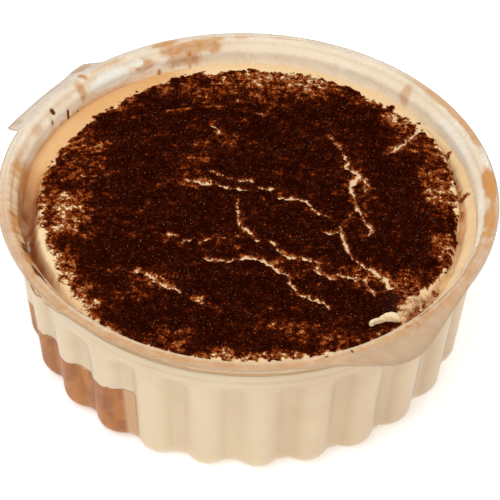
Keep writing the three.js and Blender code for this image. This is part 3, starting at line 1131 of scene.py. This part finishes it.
def strip_rows(tub):
    """Heights and roundings down one face of the wall, from the axis to the band's top."""
    flat = [("flat", share_out) for share_out in (0.0, 0.5, 0.85)]
    foot = [("foot", bend) for bend in np.linspace(0, 1, 9)]
    straight = [("wall", z) for z in np.linspace(tub.foot_round, tub.shoulder_low, 7)[1:]]
    shoulder = [("wall", z) for z in np.linspace(tub.shoulder_low, tub.shoulder_high, 9)[1:]]
    band = [("wall", z) for z in np.linspace(tub.shoulder_high, tub.band_top, 4)[1:]]
    return flat + foot + straight + shoulder + band


def strip_points(tub, azimuths, inset):
    """Points of one face of the wall, row by row."""
    rows = []
    for kind, value in strip_rows(tub):
        if kind == "wall":
            radius, height = wall_radius(tub, azimuths, value) - inset, value
        elif kind == "foot":
            radius, height = foot_points(tub, azimuths, inset, value)
        else:
            edge, height = foot_points(tub, azimuths, inset, 0.0)
            radius = edge * value
        rows.append(around(azimuths, radius, height))
    return rows


def flute_strip(tub, material):
    """One flute with half a panel on each side, both faces of the sheet."""
    pitch = 2 * np.pi / tub.flutes
    azimuths = tub.first_flute + np.linspace(-pitch / 2, pitch / 2, STRIP_COLUMNS)
    outside = strip_points(tub, azimuths, 0.0)
    inside = strip_points(tub, azimuths, tub.wall)
    points = np.concatenate([*outside, *inside])
    rows = len(outside)
    out_faces = ring_faces(rows, STRIP_COLUMNS, closed=False)
    in_faces = ring_faces(rows, STRIP_COLUMNS, closed=False)[:, ::-1] + rows * STRIP_COLUMNS
    return add_piece("flute_strip", points, np.concatenate([out_faces, in_faces]), material)


def flange_rows(tub, azimuths):
    """Rings of the flared mouth, the flange and the lip, from outside to inside."""
    lip = lip_radius(azimuths)
    droop = lip_droop(tub, azimuths)
    low = tub.band_top
    half = tub.wall / 2
    under = TUB_HEIGHT - tub.wall
    bead = tub.flange_bead
    flat_from = bead + 0.5 * MM
    flat = [(flat_from + (lip - bead - 0.7 * MM) * step, step) for step in np.linspace(0.25, 1, 4)]
    rows = []
    for z in np.linspace(low, under, 8):
        rows.append((wall_radius(tub, azimuths, z + tub.wall * (z > low)), z))
    rows += [(bead - 0.6 * MM, under), (bead, under + 0.1 * MM), (flat_from, under)]
    rows += [(radius, under - droop * step**DROOP_POWER) for radius, step in flat]
    for bend in np.radians(np.linspace(-60, 60, 5)):
        height = TUB_HEIGHT - droop - half + half * np.sin(bend)
        rows.append((lip - half + half * np.cos(bend), height))
    rows += [(radius, TUB_HEIGHT - droop * step**DROOP_POWER) for radius, step in flat[::-1]]
    rows += [(flat_from, TUB_HEIGHT), (bead, TUB_HEIGHT + BEAD_HEIGHT)]
    rows.append((bead - 0.5 * MM, TUB_HEIGHT))
    for z in np.linspace(TUB_HEIGHT, low, 9):
        rows.append((wall_radius(tub, azimuths, z) - tub.wall * (z < TUB_HEIGHT - 0.1 * MM), z))
    return rows


def flange_ring(tub, material):
    """The mouth of the tub with its flange and both tabs."""
    azimuths = tub.first_flute + full_turn(FLANGE_COLUMNS)
    rows = flange_rows(tub, azimuths)
    points = np.concatenate([around(azimuths, radius, height) for radius, height in rows])
    return add_piece("flange_ring", points, ring_faces(len(rows), FLANGE_COLUMNS), material)


def join_pieces(name, pieces):
    """One piece from several, welded where they meet."""
    shape = bmesh.new()
    for piece in pieces:
        shape.from_mesh(piece.data)
    mesh = bpy.data.meshes.new(name)
    shape.to_mesh(mesh)
    shape.free()
    mesh.materials.append(pieces[0].data.materials[0])
    for piece in pieces:
        bpy.data.objects.remove(piece)
    return show(name, mesh)


class TIRAMISU_OT_tub(bpy.types.Operator):
    """Build the fluted tub with its flange and both pull tabs"""

    bl_idname = "tiramisu.tub"
    bl_label = "Tub"

    def execute(self, context):
        tub, plastic = settings_of(context, "tub", "plastic")
        material = plastic_material(plastic)
        strip = flute_strip(tub, material)
        group, identifiers = repeat_round_group()
        values = {"Count": tub.flutes, "Weld": TUB_WELD, "Material": material}
        wall = run_group(strip, group, identifiers, values, "fluted_wall")
        bpy.data.objects.remove(strip)
        shell = join_pieces("tub_shell", [wall, flange_ring(tub, material)])
        weld(shell, TUB_WELD)
        _, azimuth, radius = measures(shell)
        add_field(shell, "lip", soft((radius - lip_radius(azimuth) + 0.35 * MM) / (0.3 * MM)))
        add_field(shell, "rim", soft((radius - 66 * MM) / (1.6 * MM)))
        hand_over(shell, "tub")
        return {"FINISHED"}


# ---------------------------------------------------------------- filling


CRUST_RINGS = 142
CRUST_DEPTH = 1.6 * MM
SIDE_COLUMNS = 750
SIDE_ROW = 0.5 * MM
SPONGE_ROWS = 26
# Level at which the wall is measured for the sponge's top
SPONGE_LEVEL = 18 * MM
# Rings of the crust's underside: share drawn in from the wall, and depth in crust depths
UNDERSIDE = [(0.004, 1.0), (0.02, 2.6)]
# Where the filling's hidden top lies below the cream's level, and how far its rim is drawn in
CAP_DEPTH = 3.4 * MM
CAP_INWARD = 1.5 * MM
# How far the cream stands back behind the sponge, how far the sponge stands proud of the cream,
# the strip along its top that the cream still covers, and the rounding of that top
SPONGE_RECESS = 2.2 * MM
SPONGE_PROUD = 0.04 * MM
SPONGE_MARGIN = 0.8 * MM
SPONGE_ROUNDING = 1.6 * MM
# Painted shade line that runs round the cream below the flange, where the wall steps: its height and
# half width
SHADE_LINE_HEIGHT = 40.2 * MM
SHADE_LINE_HALF = 0.6 * MM


def fill_radius(tub, cream, azimuth, z):
    """Radius at which the filling meets the wall, just inside the plastic."""
    return wall_radius(tub, azimuth, z) - tub.wall + cream.reach


class TIRAMISU_OT_crust(bpy.types.Operator):
    """Build the top of the filling: cream, cracks and cocoa dusting"""

    bl_idname = "tiramisu.crust"
    bl_label = "Cocoa Crust"

    def execute(self, context):
        tub, cream, cocoa = settings_of(context, "tub", "cream", "cocoa")
        rings, azimuth, faces = disc_rings(CRUST_RINGS)
        wall = fill_radius(tub, cream, azimuth, cream.level)
        radius = wall * rings / CRUST_RINGS
        height, cover, stain, warm = top_fields(tub, cream, cocoa, azimuth, radius)
        radius = np.minimum(radius, fill_radius(tub, cream, azimuth, height))
        top = around(azimuth, radius, height)
        count = 6 * CRUST_RINGS
        first = len(top) - count
        rim = np.arange(first, first + count)
        rings_under = [top[rim]]
        for inward, depth in UNDERSIDE:
            level = np.minimum(top[rim][:, 2], cream.level) - depth * CRUST_DEPTH
            inside = fill_radius(tub, cream, azimuth[rim], level) - 0.1 * MM
            shrunk = np.minimum(radius[rim] * (1 - inward), inside)
            rings_under.append(around(azimuth[rim], shrunk, level))
        foot = np.array([[0, 0, cream.level - 4 * CRUST_DEPTH]])
        points = np.concatenate([top, *rings_under[1:], foot])
        here, after = ring_steps(count)
        for step in range(len(UNDERSIDE)):
            high, low = first + step * count, first + (step + 1) * count
            sides = np.stack([low + here, low + after, high + after], -1)
            more = np.stack([low + here, high + after, high + here], -1)
            faces = np.concatenate([faces, sides, more])
        under = np.stack([np.full(count, len(points) - 1), low + after, low + here], -1)
        faces = np.concatenate([faces, under])
        crust = add_piece("cocoa_crust", points, faces, crust_material(cream, cocoa))
        extra = np.zeros(len(points) - len(top))
        # Stored fields: cocoa cover, coffee stain with painted groove shade, and warmth
        for name, values in (("cocoa", cover), ("stain", stain), ("warm", warm)):
            add_field(crust, name, np.append(values, extra))
        hand_over(crust, "cream")
        return {"FINISHED"}


def contact_mask(sponge, cream, tub, azimuth, z, margin):
    """True where the sponge is pressed against the wall, less a margin along its top."""
    wall = fill_radius(tub, cream, azimuth, z)
    reaches = sponge_edge(sponge, azimuth) > wall - 0.4 * MM
    return reaches & (z < sponge_top(sponge, azimuth, wall) - margin)


def side_rings(tub, cream, azimuths, top):
    """Rings of (radius, height) under the filling and up its side."""
    inset = tub.wall - cream.reach
    rings = []
    floor_edge, floor_z = foot_points(tub, azimuths, inset, 0.0)
    for share_out in (0.3, 0.6, 0.85):
        rings.append((floor_edge * share_out, floor_z))
    for bend in np.linspace(0, 1, 16):
        rings.append(foot_points(tub, azimuths, inset, bend))
    rows = int(np.max(top - tub.foot_round) / SIDE_ROW)
    for row in range(1, rows + 1):
        height = tub.foot_round + (top - tub.foot_round) * row / rows
        rings.append((fill_radius(tub, cream, azimuths, height), height))
    return rings


class TIRAMISU_OT_cream(bpy.types.Operator):
    """Build the cream that fills the tub and shows through its wall"""

    bl_idname = "tiramisu.cream"
    bl_label = "Cream"

    def execute(self, context):
        tub, cream, cocoa, sponge = settings_of(context, "tub", "cream", "cocoa", "sponge")
        azimuths = full_turn(SIDE_COLUMNS)
        wall = fill_radius(tub, cream, azimuths, cream.level)
        top = top_fields(tub, cream, cocoa, azimuths, wall)[0] - 0.3 * MM
        rings = side_rings(tub, cream, azimuths, top)
        recessed = []
        for radius, height in rings:
            height = height + 0 * azimuths
            hidden = contact_mask(sponge, cream, tub, azimuths, height, SPONGE_MARGIN)
            hidden &= radius > 0.9 * floor_limit(tub)
            recessed.append((np.where(hidden, radius - SPONGE_RECESS, radius), height))
        cap = cream.level - CAP_DEPTH
        recessed.append((rings[-1][0] - CAP_INWARD, np.minimum(top, cap) - 0.2 * MM))
        recessed.append((wall * 0.5, np.full_like(wall, cap - 2 * MM)))
        body = ring_body("cream_fill", azimuths, recessed, cream_side_material(cream))
        points, azimuth, radius = measures(body)
        height = points[:, 2]
        over = height - sponge_top(sponge, azimuth, radius)
        beside = sponge_edge(sponge, azimuth) - radius
        near = soft(1.4 - np.abs(over) / (1.6 * MM)) * soft(beside / (2 * MM) + 1.2)
        add_field(body, "pale", near)
        # Warmer near the top: coffee-wet cream, partly painted shade under the flange
        upper = soft((height - 41.5 * MM) / (2.0 * MM))
        side = layered_noise(azimuth * 40 + 130, height / MM, 6.0, 91)
        # Painted shade on the right-hand side, away from the light
        right = 0.45 * sector(azimuth, 70, 45, 30)
        # Painted shade line where the wall steps below the flange
        line = 0.4 * soft(1.4 - np.abs(height - SHADE_LINE_HEIGHT) / SHADE_LINE_HALF)
        # Painted shade on the panels between the flutes, below the shoulder
        between = 1 - np.clip(flute_height(tub, azimuth), 0, 1)
        panel = 0.4 * between * (height < tub.shoulder_high)
        # Warmth field: coffee clouds plus the painted shade above
        warm = 0.55 * upper + 0.5 * (side - 0.5) + (right + line) + panel
        add_field(body, "warm", np.clip(warm, 0, 1))
        hand_over(body, "cream")
        return {"FINISHED"}


def floor_limit(tub):
    """Radius of the flat part of the tub's base."""
    return tub.base_radius - tub.foot_round


class TIRAMISU_OT_sponge(bpy.types.Operator):
    """Build the soaked sponge that shows through the wall"""

    bl_idname = "tiramisu.sponge"
    bl_label = "Sponge"

    def execute(self, context):
        tub, cream, sponge = settings_of(context, "tub", "cream", "sponge")
        azimuths = full_turn(SIDE_COLUMNS)
        wall = fill_radius(tub, cream, azimuths, SPONGE_LEVEL)
        own = sponge_edge(sponge, azimuths)
        top = sponge_top(sponge, azimuths, np.minimum(wall, own))
        inset = tub.wall - cream.reach
        rings = []
        floor_edge, floor_z = foot_points(tub, azimuths, inset - SPONGE_PROUD, 0.0)
        rings.append((np.minimum(floor_edge, own) * 0.5, floor_z))
        for bend in np.linspace(0, 1, 12):
            radius, height = foot_points(tub, azimuths, inset - SPONGE_PROUD, bend)
            rings.append((np.minimum(radius, own), height))
        for row in range(1, SPONGE_ROWS + 1):
            height = tub.foot_round + (top - tub.foot_round) * row / SPONGE_ROWS
            radius = np.minimum(fill_radius(tub, cream, azimuths, height) + SPONGE_PROUD, own)
            rounding = np.clip((height - top + SPONGE_ROUNDING) / SPONGE_ROUNDING, 0, 1) ** 2
            rings.append((radius - 1.1 * MM * rounding, height))
        for share_in in (0.85, 0.5):
            rings.append((rings[-1][0] * share_in, sponge_top(sponge, azimuths, wall * share_in)))
        piece = ring_body("sponge_layer", azimuths, rings, sponge_material(sponge))
        points, azimuth, radius = measures(piece)
        under = sponge_top(sponge, azimuth, radius) - points[:, 2]
        near_end = soft((azimuth - math.radians(-33.5)) / math.radians(1.6))
        add_field(piece, "pale", np.maximum(0.6 * soft(1.2 - under / (0.9 * MM)), 0.62 * near_end))
        hand_over(piece, "sponge")
        return {"FINISHED"}


# ---------------------------------------------------------------- curl and cocoa


# Ends of the tongue as (x, y) in millimetres
CURL_START = (34.3, -44.6)
CURL_END = (43.0, -41.0)
# Bow to one side, depth of its underside and how far it has sunk in, in millimetres
CURL_BOW = 0.8
CURL_BELOW = 0.7
CURL_SUNK = 0.1
CURL_STEPS = 60
CURL_SIDES = 40
# Along the tongue: place from 0 to 1, half width and height in millimetres
CURL_SHAPE = [
    (0.00, 0.85, 1.3), (0.12, 0.95, 1.5), (0.22, 0.70, 1.2), (0.34, 0.80, 1.5), (0.48, 1.00, 1.8),
    (0.64, 1.20, 1.7), (0.80, 1.45, 1.8), (0.92, 1.5, 1.5), (1.00, 1.3, 0.9),
]  # fmt: skip


class TIRAMISU_OT_curl(bpy.types.Operator):
    """Build the tongue of cream that stands on the top"""

    bl_idname = "tiramisu.curl"
    bl_label = "Cream Curl"

    def execute(self, context):
        (cream,) = settings_of(context, "cream")
        places, widths, heights = np.array(CURL_SHAPE).T
        place = np.linspace(0, 1, CURL_STEPS)[:, None]
        bend = full_turn(CURL_SIDES)[None, :]
        near_end = np.clip(np.minimum(place / 0.07, (1 - place) / 0.09), 0.02, 1)
        cap = np.sqrt(near_end * (2 - near_end))
        ring_x, ring_y = 1.3 * np.cos(bend), 1.3 * np.sin(bend)
        lump = unevenness(place * 11 + ring_x + 30, ring_y + 30, 1.5, 97)
        wide = np.interp(place, places, widths) * cap * (1 + 0.7 * lump)
        tall = np.interp(place, places, heights) * cap * (1 + 0.8 * lump)
        along = np.subtract(CURL_END, CURL_START)
        side = np.array([-along[1], along[0]]) / np.hypot(*along)
        across = CURL_BOW * np.sin(np.pi * place) + wide * np.cos(bend)
        x = CURL_START[0] + along[0] * place + side[0] * across
        y = CURL_START[1] + along[1] * place + side[1] * across
        upward = np.sin(bend) * np.where(np.sin(bend) > 0, tall, CURL_BELOW)
        z = cream.level / MM - CURL_SUNK + upward
        points = np.stack([x, y, z], -1).reshape(-1, 3) * MM
        faces = ring_faces(CURL_STEPS, CURL_SIDES).tolist()
        faces += [list(range(CURL_SIDES)), list(range(len(points) - CURL_SIDES, len(points)))]
        curl = add_piece("cream_tongue", points, faces, curl_material())
        weld(curl, 0.005 * MM)
        hand_over(curl, "cream_curl")
        return {"FINISHED"}


class TIRAMISU_OT_grains(bpy.types.Operator):
    """Scatter loose cocoa grains and clumps over the crust"""

    bl_idname = "tiramisu.grains"
    bl_label = "Cocoa Grains"

    def execute(self, context):
        (cocoa,) = settings_of(context, "cocoa")
        crust = bpy.data.objects["cocoa_crust"]
        count = len(crust.data.vertices)
        cover = np.zeros(count, np.float32)
        crust.data.attributes["cocoa"].data.foreach_get("value", cover)
        points, azimuth, radius = measures(crust)
        radius = radius / MM
        edge = round_table(azimuth, COCOA_EDGE)
        crowded = 0.3 + 0.7 * sector(azimuth, 180, 130, 15) + 1.6 * sector(azimuth, -80, 50, 20)
        near_edge = soft(1.2 - np.abs(radius - edge + 1.0) / 2.2) * crowded
        material = grain_material(cocoa)
        group, identifiers = scatter_group()
        kinds = [
            ("cocoa_grains", 0.15 + 0.85 * cover, cocoa.grains, cocoa.grain, 1, 5),
            ("cocoa_clumps", near_edge, cocoa.clumps, cocoa.clump, 2, 9),
        ]
        for name, allowed, density, size, detail, seed in kinds:
            allowed = np.where(radius < edge + 1.5, allowed, 0.0) * (points[:, 2] > 40 * MM)
            add_field(crust, "scatter", allowed)
            values = {"Density": density / SQUARE_CENTIMETRE, "Radius": size, "Detail": detail}
            values.update({"Seed": seed, "Material": material})
            grains = run_group(crust, group, identifiers, values, name)
            crust.data.attributes.remove(crust.data.attributes["scatter"])
            grains.data.shade_smooth()
            hand_over(grains, None)
        return {"FINISHED"}


# ---------------------------------------------------------------- film on the wall


FILM_COLUMNS = 800
FILM_WALL_ROWS = 44
FILM_FLANGE_ROWS = 14
FILM_THICKNESS = 0.08 * MM
# Gap between film and plastic, where the film starts, and how far it stops short of the lip
FILM_CLEAR = 0.03 * MM
FILM_BOTTOM = 31 * MM
FILM_SHORT = 0.4 * MM

# Marks left on the plastic: azimuth in degrees, level in millimetres up the wall and on across
# the flange, half width in degrees, half height in millimetres; browning, darkness, paleness
MARKS = [
    (-177, 51.6, 2, 0.6, 0.55, 0, 0), (-171, 51.4, 2.4, 0.8, 0.6, 0, 0),
    (-158, 52.3, 5, 1.6, 0.74, 0, 0), (-162, 47.4, 6, 3.4, 0.66, 0, 0),
    (-151, 48.4, 5, 2.4, 0.62, 0, 0), (-163, 50, 9.5, 1.9, 0.7, 0, 0),
    (-163.4, 48.8, 0.8, 1.2, 0.9, 0.35, 0), (-163.6, 45.4, 0.6, 2.8, 0.66, 0.1, 0),
    (-155, 44.8, 0.8, 1.6, 0.8, 0.42, 0), (-141, 48.4, 6.5, 2.8, 0, 0, 0.95),
    (-149, 49.6, 3, 1.4, 0, 0, 0.7), (-141, 51.6, 6, 1.2, 0.42, 0, 0),
    (-134.5, 52.6, 0.9, 2, 0.88, 0, 0), (-131.5, 49, 1.7, 3.4, 0.66, 0, 0),
    (-137, 57.6, 3, 2.4, 0.86, 0.18, 0), (-129, 44.4, 0.8, 1.9, 0.5, 0.48, 0),
    (-125.3, 46, 0.6, 2.3, 0.9, 0.8, 0), (-120.6, 49.8, 0.9, 1.3, 0.95, 0.85, 0),
    (-118.6, 47.8, 0.7, 1.2, 0.7, 0.5, 0), (-113, 49.6, 2.2, 1.8, 0.5, 0, 0),
    (-123, 47.4, 1.6, 1.6, 0, 0, 0.8), (-113.5, 56.5, 1.4, 2.4, 0.3, 0, 0),
    (-82, 50.3, 20, 0.4, 0.7, 0.1, 0), (-91, 44.5, 2.6, 5.5, 0.8, 0.2, 0),
    (-78, 45, 4, 5, 0.92, 0.5, 0), (-67, 47.5, 5, 3.6, 0.95, 0.55, 0),
    (-59, 50.2, 4, 0.9, 0.85, 0.62, 0), (-48, 49.6, 9, 1.8, 0.5, 0, 0),
    (-27, 44.2, 18, 1.3, 0.62, 0.1, 0), (-2, 43.8, 12, 1, 0.5, 0.1, 0), (12, 43.4, 9, 0.8, 0.4, 0, 0),
    (13, 51.8, 6, 0.9, 0.5, 0, 0), (30, 51.8, 9, 0.9, 0.46, 0, 0), (19.2, 51.4, 0.5, 0.5, 0.9, 0.9, 0),
    (25.2, 51.9, 0.45, 0.8, 0.9, 0.8, 0), (40.5, 51.6, 1, 0.8, 0.9, 0.4, 0),
    (43, 52.2, 0.5, 1.6, 0.9, 0.4, 0), (51, 50.3, 9, 0.45, 0.8, 0.55, 0),
    (68, 50.8, 14, 0.9, 0.62, 0, 0), (66, 46.2, 2.6, 3, 0.66, 0.1, 0), (84, 51.8, 9, 1.4, 0.8, 0, 0),
    (95, 52, 9, 1.8, 0.88, 0.05, 0), (115, 52.8, 7, 1.5, 0.7, 0, 0), (127, 52.7, 13, 1.7, 0.62, 0, 0),
    (136.5, 47.8, 1.8, 4, 0.56, 0, 0), (116, 48.6, 12, 2.8, 0, 0, 0.62), (104, 52.2, 4, 1.2, 0, 0, 0.6),
    (178, 52, 26, 0.22, 0.46, 0, 0),
]  # fmt: skip


def film_fields(azimuth, level):
    """Opacity, browning (with some painted shade below the flange), darkness and paleness of the film,
    level in millimetres.
    """
    along = np.degrees(azimuth) * 1.13 + 500
    streaks = layered_noise(along, level * 0.22 + 50, 1.8, 101)
    clouds = layered_noise(along, level * 0.7 + 50, 6.0, 107)
    on_wall = soft((51.5 - level) / 0.9)
    low = soft((47.0 - level) / 3.0)
    far = sector(azimuth, 180, 70, 25)
    tan_side = sector(azimuth, -122, 21, 12) * on_wall
    gap_side = sector(azimuth, -79, 15, 14) * on_wall
    near = sector(azimuth, 0, 80, 30)
    film = on_wall * (0.5 + 0.3 * far) + (1 - on_wall) * (0.54 - 0.24 * far) + 0.3 * (clouds - 0.5)
    # Collar below the flange at the front: brown smear, partly painted shade under the flange
    collar = near * soft((level - 42.4) / 1.2) * soft((47.5 - level) / 1.5)
    at_left = 0.92 * tan_side * (0.3 + 0.7 * low) + 0.95 * gap_side
    film = np.maximum(film, np.maximum(0.92 * collar, at_left))
    on_flange = (1 - on_wall) * (near - 0.1 * sector(azimuth, -95, 35, 20))
    brown = 0.06 + 0.24 * (streaks - 0.5) + on_flange * 0.56 + 0.22 * collar
    brown = brown + tan_side * (0.14 + 0.34 * low) + gap_side * (0.55 + 0.8 * (streaks - 0.4))
    dark = 0.42 * gap_side * soft((streaks - 0.56) / 0.16)
    pale = 0.30 * sector(azimuth, 116, 22, 16) * on_wall
    for place, middle, half_width, half_height, browning, darkness, paleness in MARKS:
        across = turn(azimuth, math.radians(place)) / math.radians(half_width)
        up = (level - middle) / half_height
        edge = (1.35 - np.hypot(across, up)) * 1.3 + 0.7 * (streaks - 0.5) + 0.9 * (clouds - 0.5)
        mark = soft(edge)
        film = np.maximum(film, mark * (0.55 + 0.45 * max(browning, paleness)))
        brown = np.maximum(brown, mark * browning)
        dark = np.maximum(dark, mark * darkness)
        pale = np.maximum(pale, mark * paleness)
    return [np.clip(values, 0, 1) for values in (film, brown, dark, pale)]


class TIRAMISU_OT_film(bpy.types.Operator):
    """Build the thin film of cream and coffee left on the wall and the flange"""

    bl_idname = "tiramisu.film"
    bl_label = "Film on the Wall"

    def execute(self, context):
        tub, plastic = settings_of(context, "tub", "plastic")
        azimuths = full_turn(FILM_COLUMNS)
        rows = []
        for z in np.linspace(FILM_BOTTOM, TUB_HEIGHT - 0.2 * MM, FILM_WALL_ROWS):
            rows.append((wall_radius(tub, azimuths, z) - tub.wall - FILM_CLEAR, z + 0 * azimuths))
        reach = lip_radius(azimuths) - FILM_SHORT
        for step in np.linspace(0.06, 1, FILM_FLANGE_ROWS):
            radius = tub.flange_inner + (reach - tub.flange_inner) * step
            past = np.clip((radius - tub.flange_bead) / (reach - tub.flange_bead), 0, 1)
            droop = lip_droop(tub, azimuths) * past**DROOP_POWER
            rows.append((radius, TUB_HEIGHT + FILM_CLEAR - droop + BEAD_HEIGHT * (past <= 0)))
        outer = [around(azimuths, radius, height) for radius, height in rows]
        inner = []
        for index, (radius, height) in enumerate(rows):
            up = FILM_THICKNESS * (index >= FILM_WALL_ROWS)
            inner.append(around(azimuths, radius - (FILM_THICKNESS - up), height + up))
        points = np.concatenate([*inner, *outer[::-1]])
        faces = ring_faces(2 * len(rows) + 1, FILM_COLUMNS) % len(points)
        film = add_piece("wall_film", points, faces, film_material(plastic))
        weld(film, 0.001 * MM)
        points, azimuth, radius = measures(film)
        on_flange = radius > tub.flange_inner - 0.05 * MM
        past = TUB_HEIGHT + radius - tub.flange_inner
        level = np.where(on_flange, past, points[:, 2]) / MM
        names = ("film", "brown", "dark", "pale")
        for name, values in zip(names, film_fields(azimuth, level)):
            add_field(film, name, values)
        hand_over(film, None)
        return {"FINISHED"}


# ---------------------------------------------------------------- stage


CAMERA_DISTANCE = 1104.2 * MM
CAMERA_ELEVATION = math.radians(44.206)
CAMERA_PAN = 0.0009
CAMERA_TILT = 0.01928
CAMERA_ROLL = 0.03128
CAMERA_LENS = 272.37


def add_camera(context):
    """Camera that looks down on the tub from the front."""
    place = Vector((0, -math.cos(CAMERA_ELEVATION), math.sin(CAMERA_ELEVATION))) * CAMERA_DISTANCE
    ahead = -place.normalized()
    right = Vector((1, 0, 0))
    ahead = (ahead + CAMERA_PAN * right + CAMERA_TILT * right.cross(ahead)).normalized()
    right = ahead.cross(Vector((0, 0, 1))).normalized()
    up = right.cross(ahead)
    rolled_right = math.cos(CAMERA_ROLL) * right + math.sin(CAMERA_ROLL) * up
    rolled_up = math.cos(CAMERA_ROLL) * up - math.sin(CAMERA_ROLL) * right
    data = bpy.data.cameras.new("camera")
    data.lens = CAMERA_LENS
    data.sensor_width = 36
    data.clip_end = 50
    camera = show("camera", data)
    turned = Matrix((rolled_right, rolled_up, -ahead)).transposed()
    camera.matrix_world = Matrix.Translation(place) @ turned.to_4x4()
    context.scene.camera = camera


# Soft lamps: name, azimuth and elevation in degrees, distance, size and power
LAMPS = [
    ("key_lamp", -35, 58, 1.3, 0.9, 9),
    ("back_lamp", 150, 50, 1.4, 1.0, 4),
    ("front_lamp", 38, 24, 1.5, 0.9, 2.6),
]
ROOM_LIGHT = 0.52
FLOOR_HALF = 4.0


def add_lamp(name, azimuth, elevation, distance, size, power):
    """Square soft lamp that points at the tub."""
    data = bpy.data.lights.new(name, "AREA")
    data.size = size
    data.energy = power
    lamp = show(name, data)
    bend, rise = math.radians(azimuth), math.radians(elevation)
    away = Vector((math.sin(bend) * math.cos(rise), -math.cos(bend) * math.cos(rise), math.sin(rise)))
    lamp.location = away * distance
    lamp.rotation_euler = away.to_track_quat("Z", "Y").to_euler()


class TIRAMISU_OT_stage(bpy.types.Operator):
    """Set the camera, the soft lights and the pale floor"""

    bl_idname = "tiramisu.stage"
    bl_label = "Stage"

    def execute(self, context):
        add_camera(context)
        for lamp in LAMPS:
            add_lamp(*lamp)
        corners = ((-1, -1), (1, -1), (1, 1), (-1, 1))
        points = [(x * FLOOR_HALF, y * FLOOR_HALF, 0) for x, y in corners]
        floor = add_piece("floor", points, [(0, 1, 2, 3)], floor_material(), smooth=False)
        world = bpy.data.worlds.new("soft_room")
        world.use_nodes = True
        backdrop = world.node_tree.nodes["Background"]
        backdrop.inputs["Color"].default_value = WHITE
        backdrop.inputs["Strength"].default_value = ROOM_LIGHT
        context.scene.world = world
        context.scene.view_settings.view_transform = "Standard"
        return {"FINISHED"}


# ---------------------------------------------------------------- panel


class TIRAMISU_PT_panel(bpy.types.Panel):
    """Lists the tiramisu's settings and pieces"""

    bl_label = "Tiramisu"
    bl_idname = "TIRAMISU_PT_panel"
    bl_space_type = "VIEW_3D"
    bl_region_type = "UI"
    bl_category = "Tiramisu"

    def draw(self, context):
        for name in SETTINGS:
            box = self.layout.box()
            settings = getattr(context.scene, name)
            for field in settings.bl_rna.properties:
                if field.identifier not in ("rna_type", "name"):
                    box.prop(settings, field.identifier)
        for operator in OPERATORS:
            self.layout.operator(operator.bl_idname)


OPERATORS = [
    TIRAMISU_OT_stage,
    TIRAMISU_OT_tub,
    TIRAMISU_OT_crust,
    TIRAMISU_OT_cream,
    TIRAMISU_OT_sponge,
    TIRAMISU_OT_curl,
    TIRAMISU_OT_grains,
    TIRAMISU_OT_film,
]


def register():
    """Adds the settings, the operators and the panel."""
    for kind in [*SETTINGS.values(), *OPERATORS, TIRAMISU_PT_panel]:
        bpy.utils.register_class(kind)
    for name, kind in SETTINGS.items():
        setattr(bpy.types.Scene, name, bpy.props.PointerProperty(type=kind))


def unregister():
    """Takes away what register added."""
    for name in SETTINGS:
        delattr(bpy.types.Scene, name)
    for kind in reversed([*SETTINGS.values(), *OPERATORS, TIRAMISU_PT_panel]):
        bpy.utils.unregister_class(kind)


def main():
    """Builds every piece."""
    register()
    for operator in OPERATORS:
        group, name = operator.bl_idname.split(".")
        getattr(getattr(bpy.ops, group), name)()


if __name__ == "__main__":
    main()
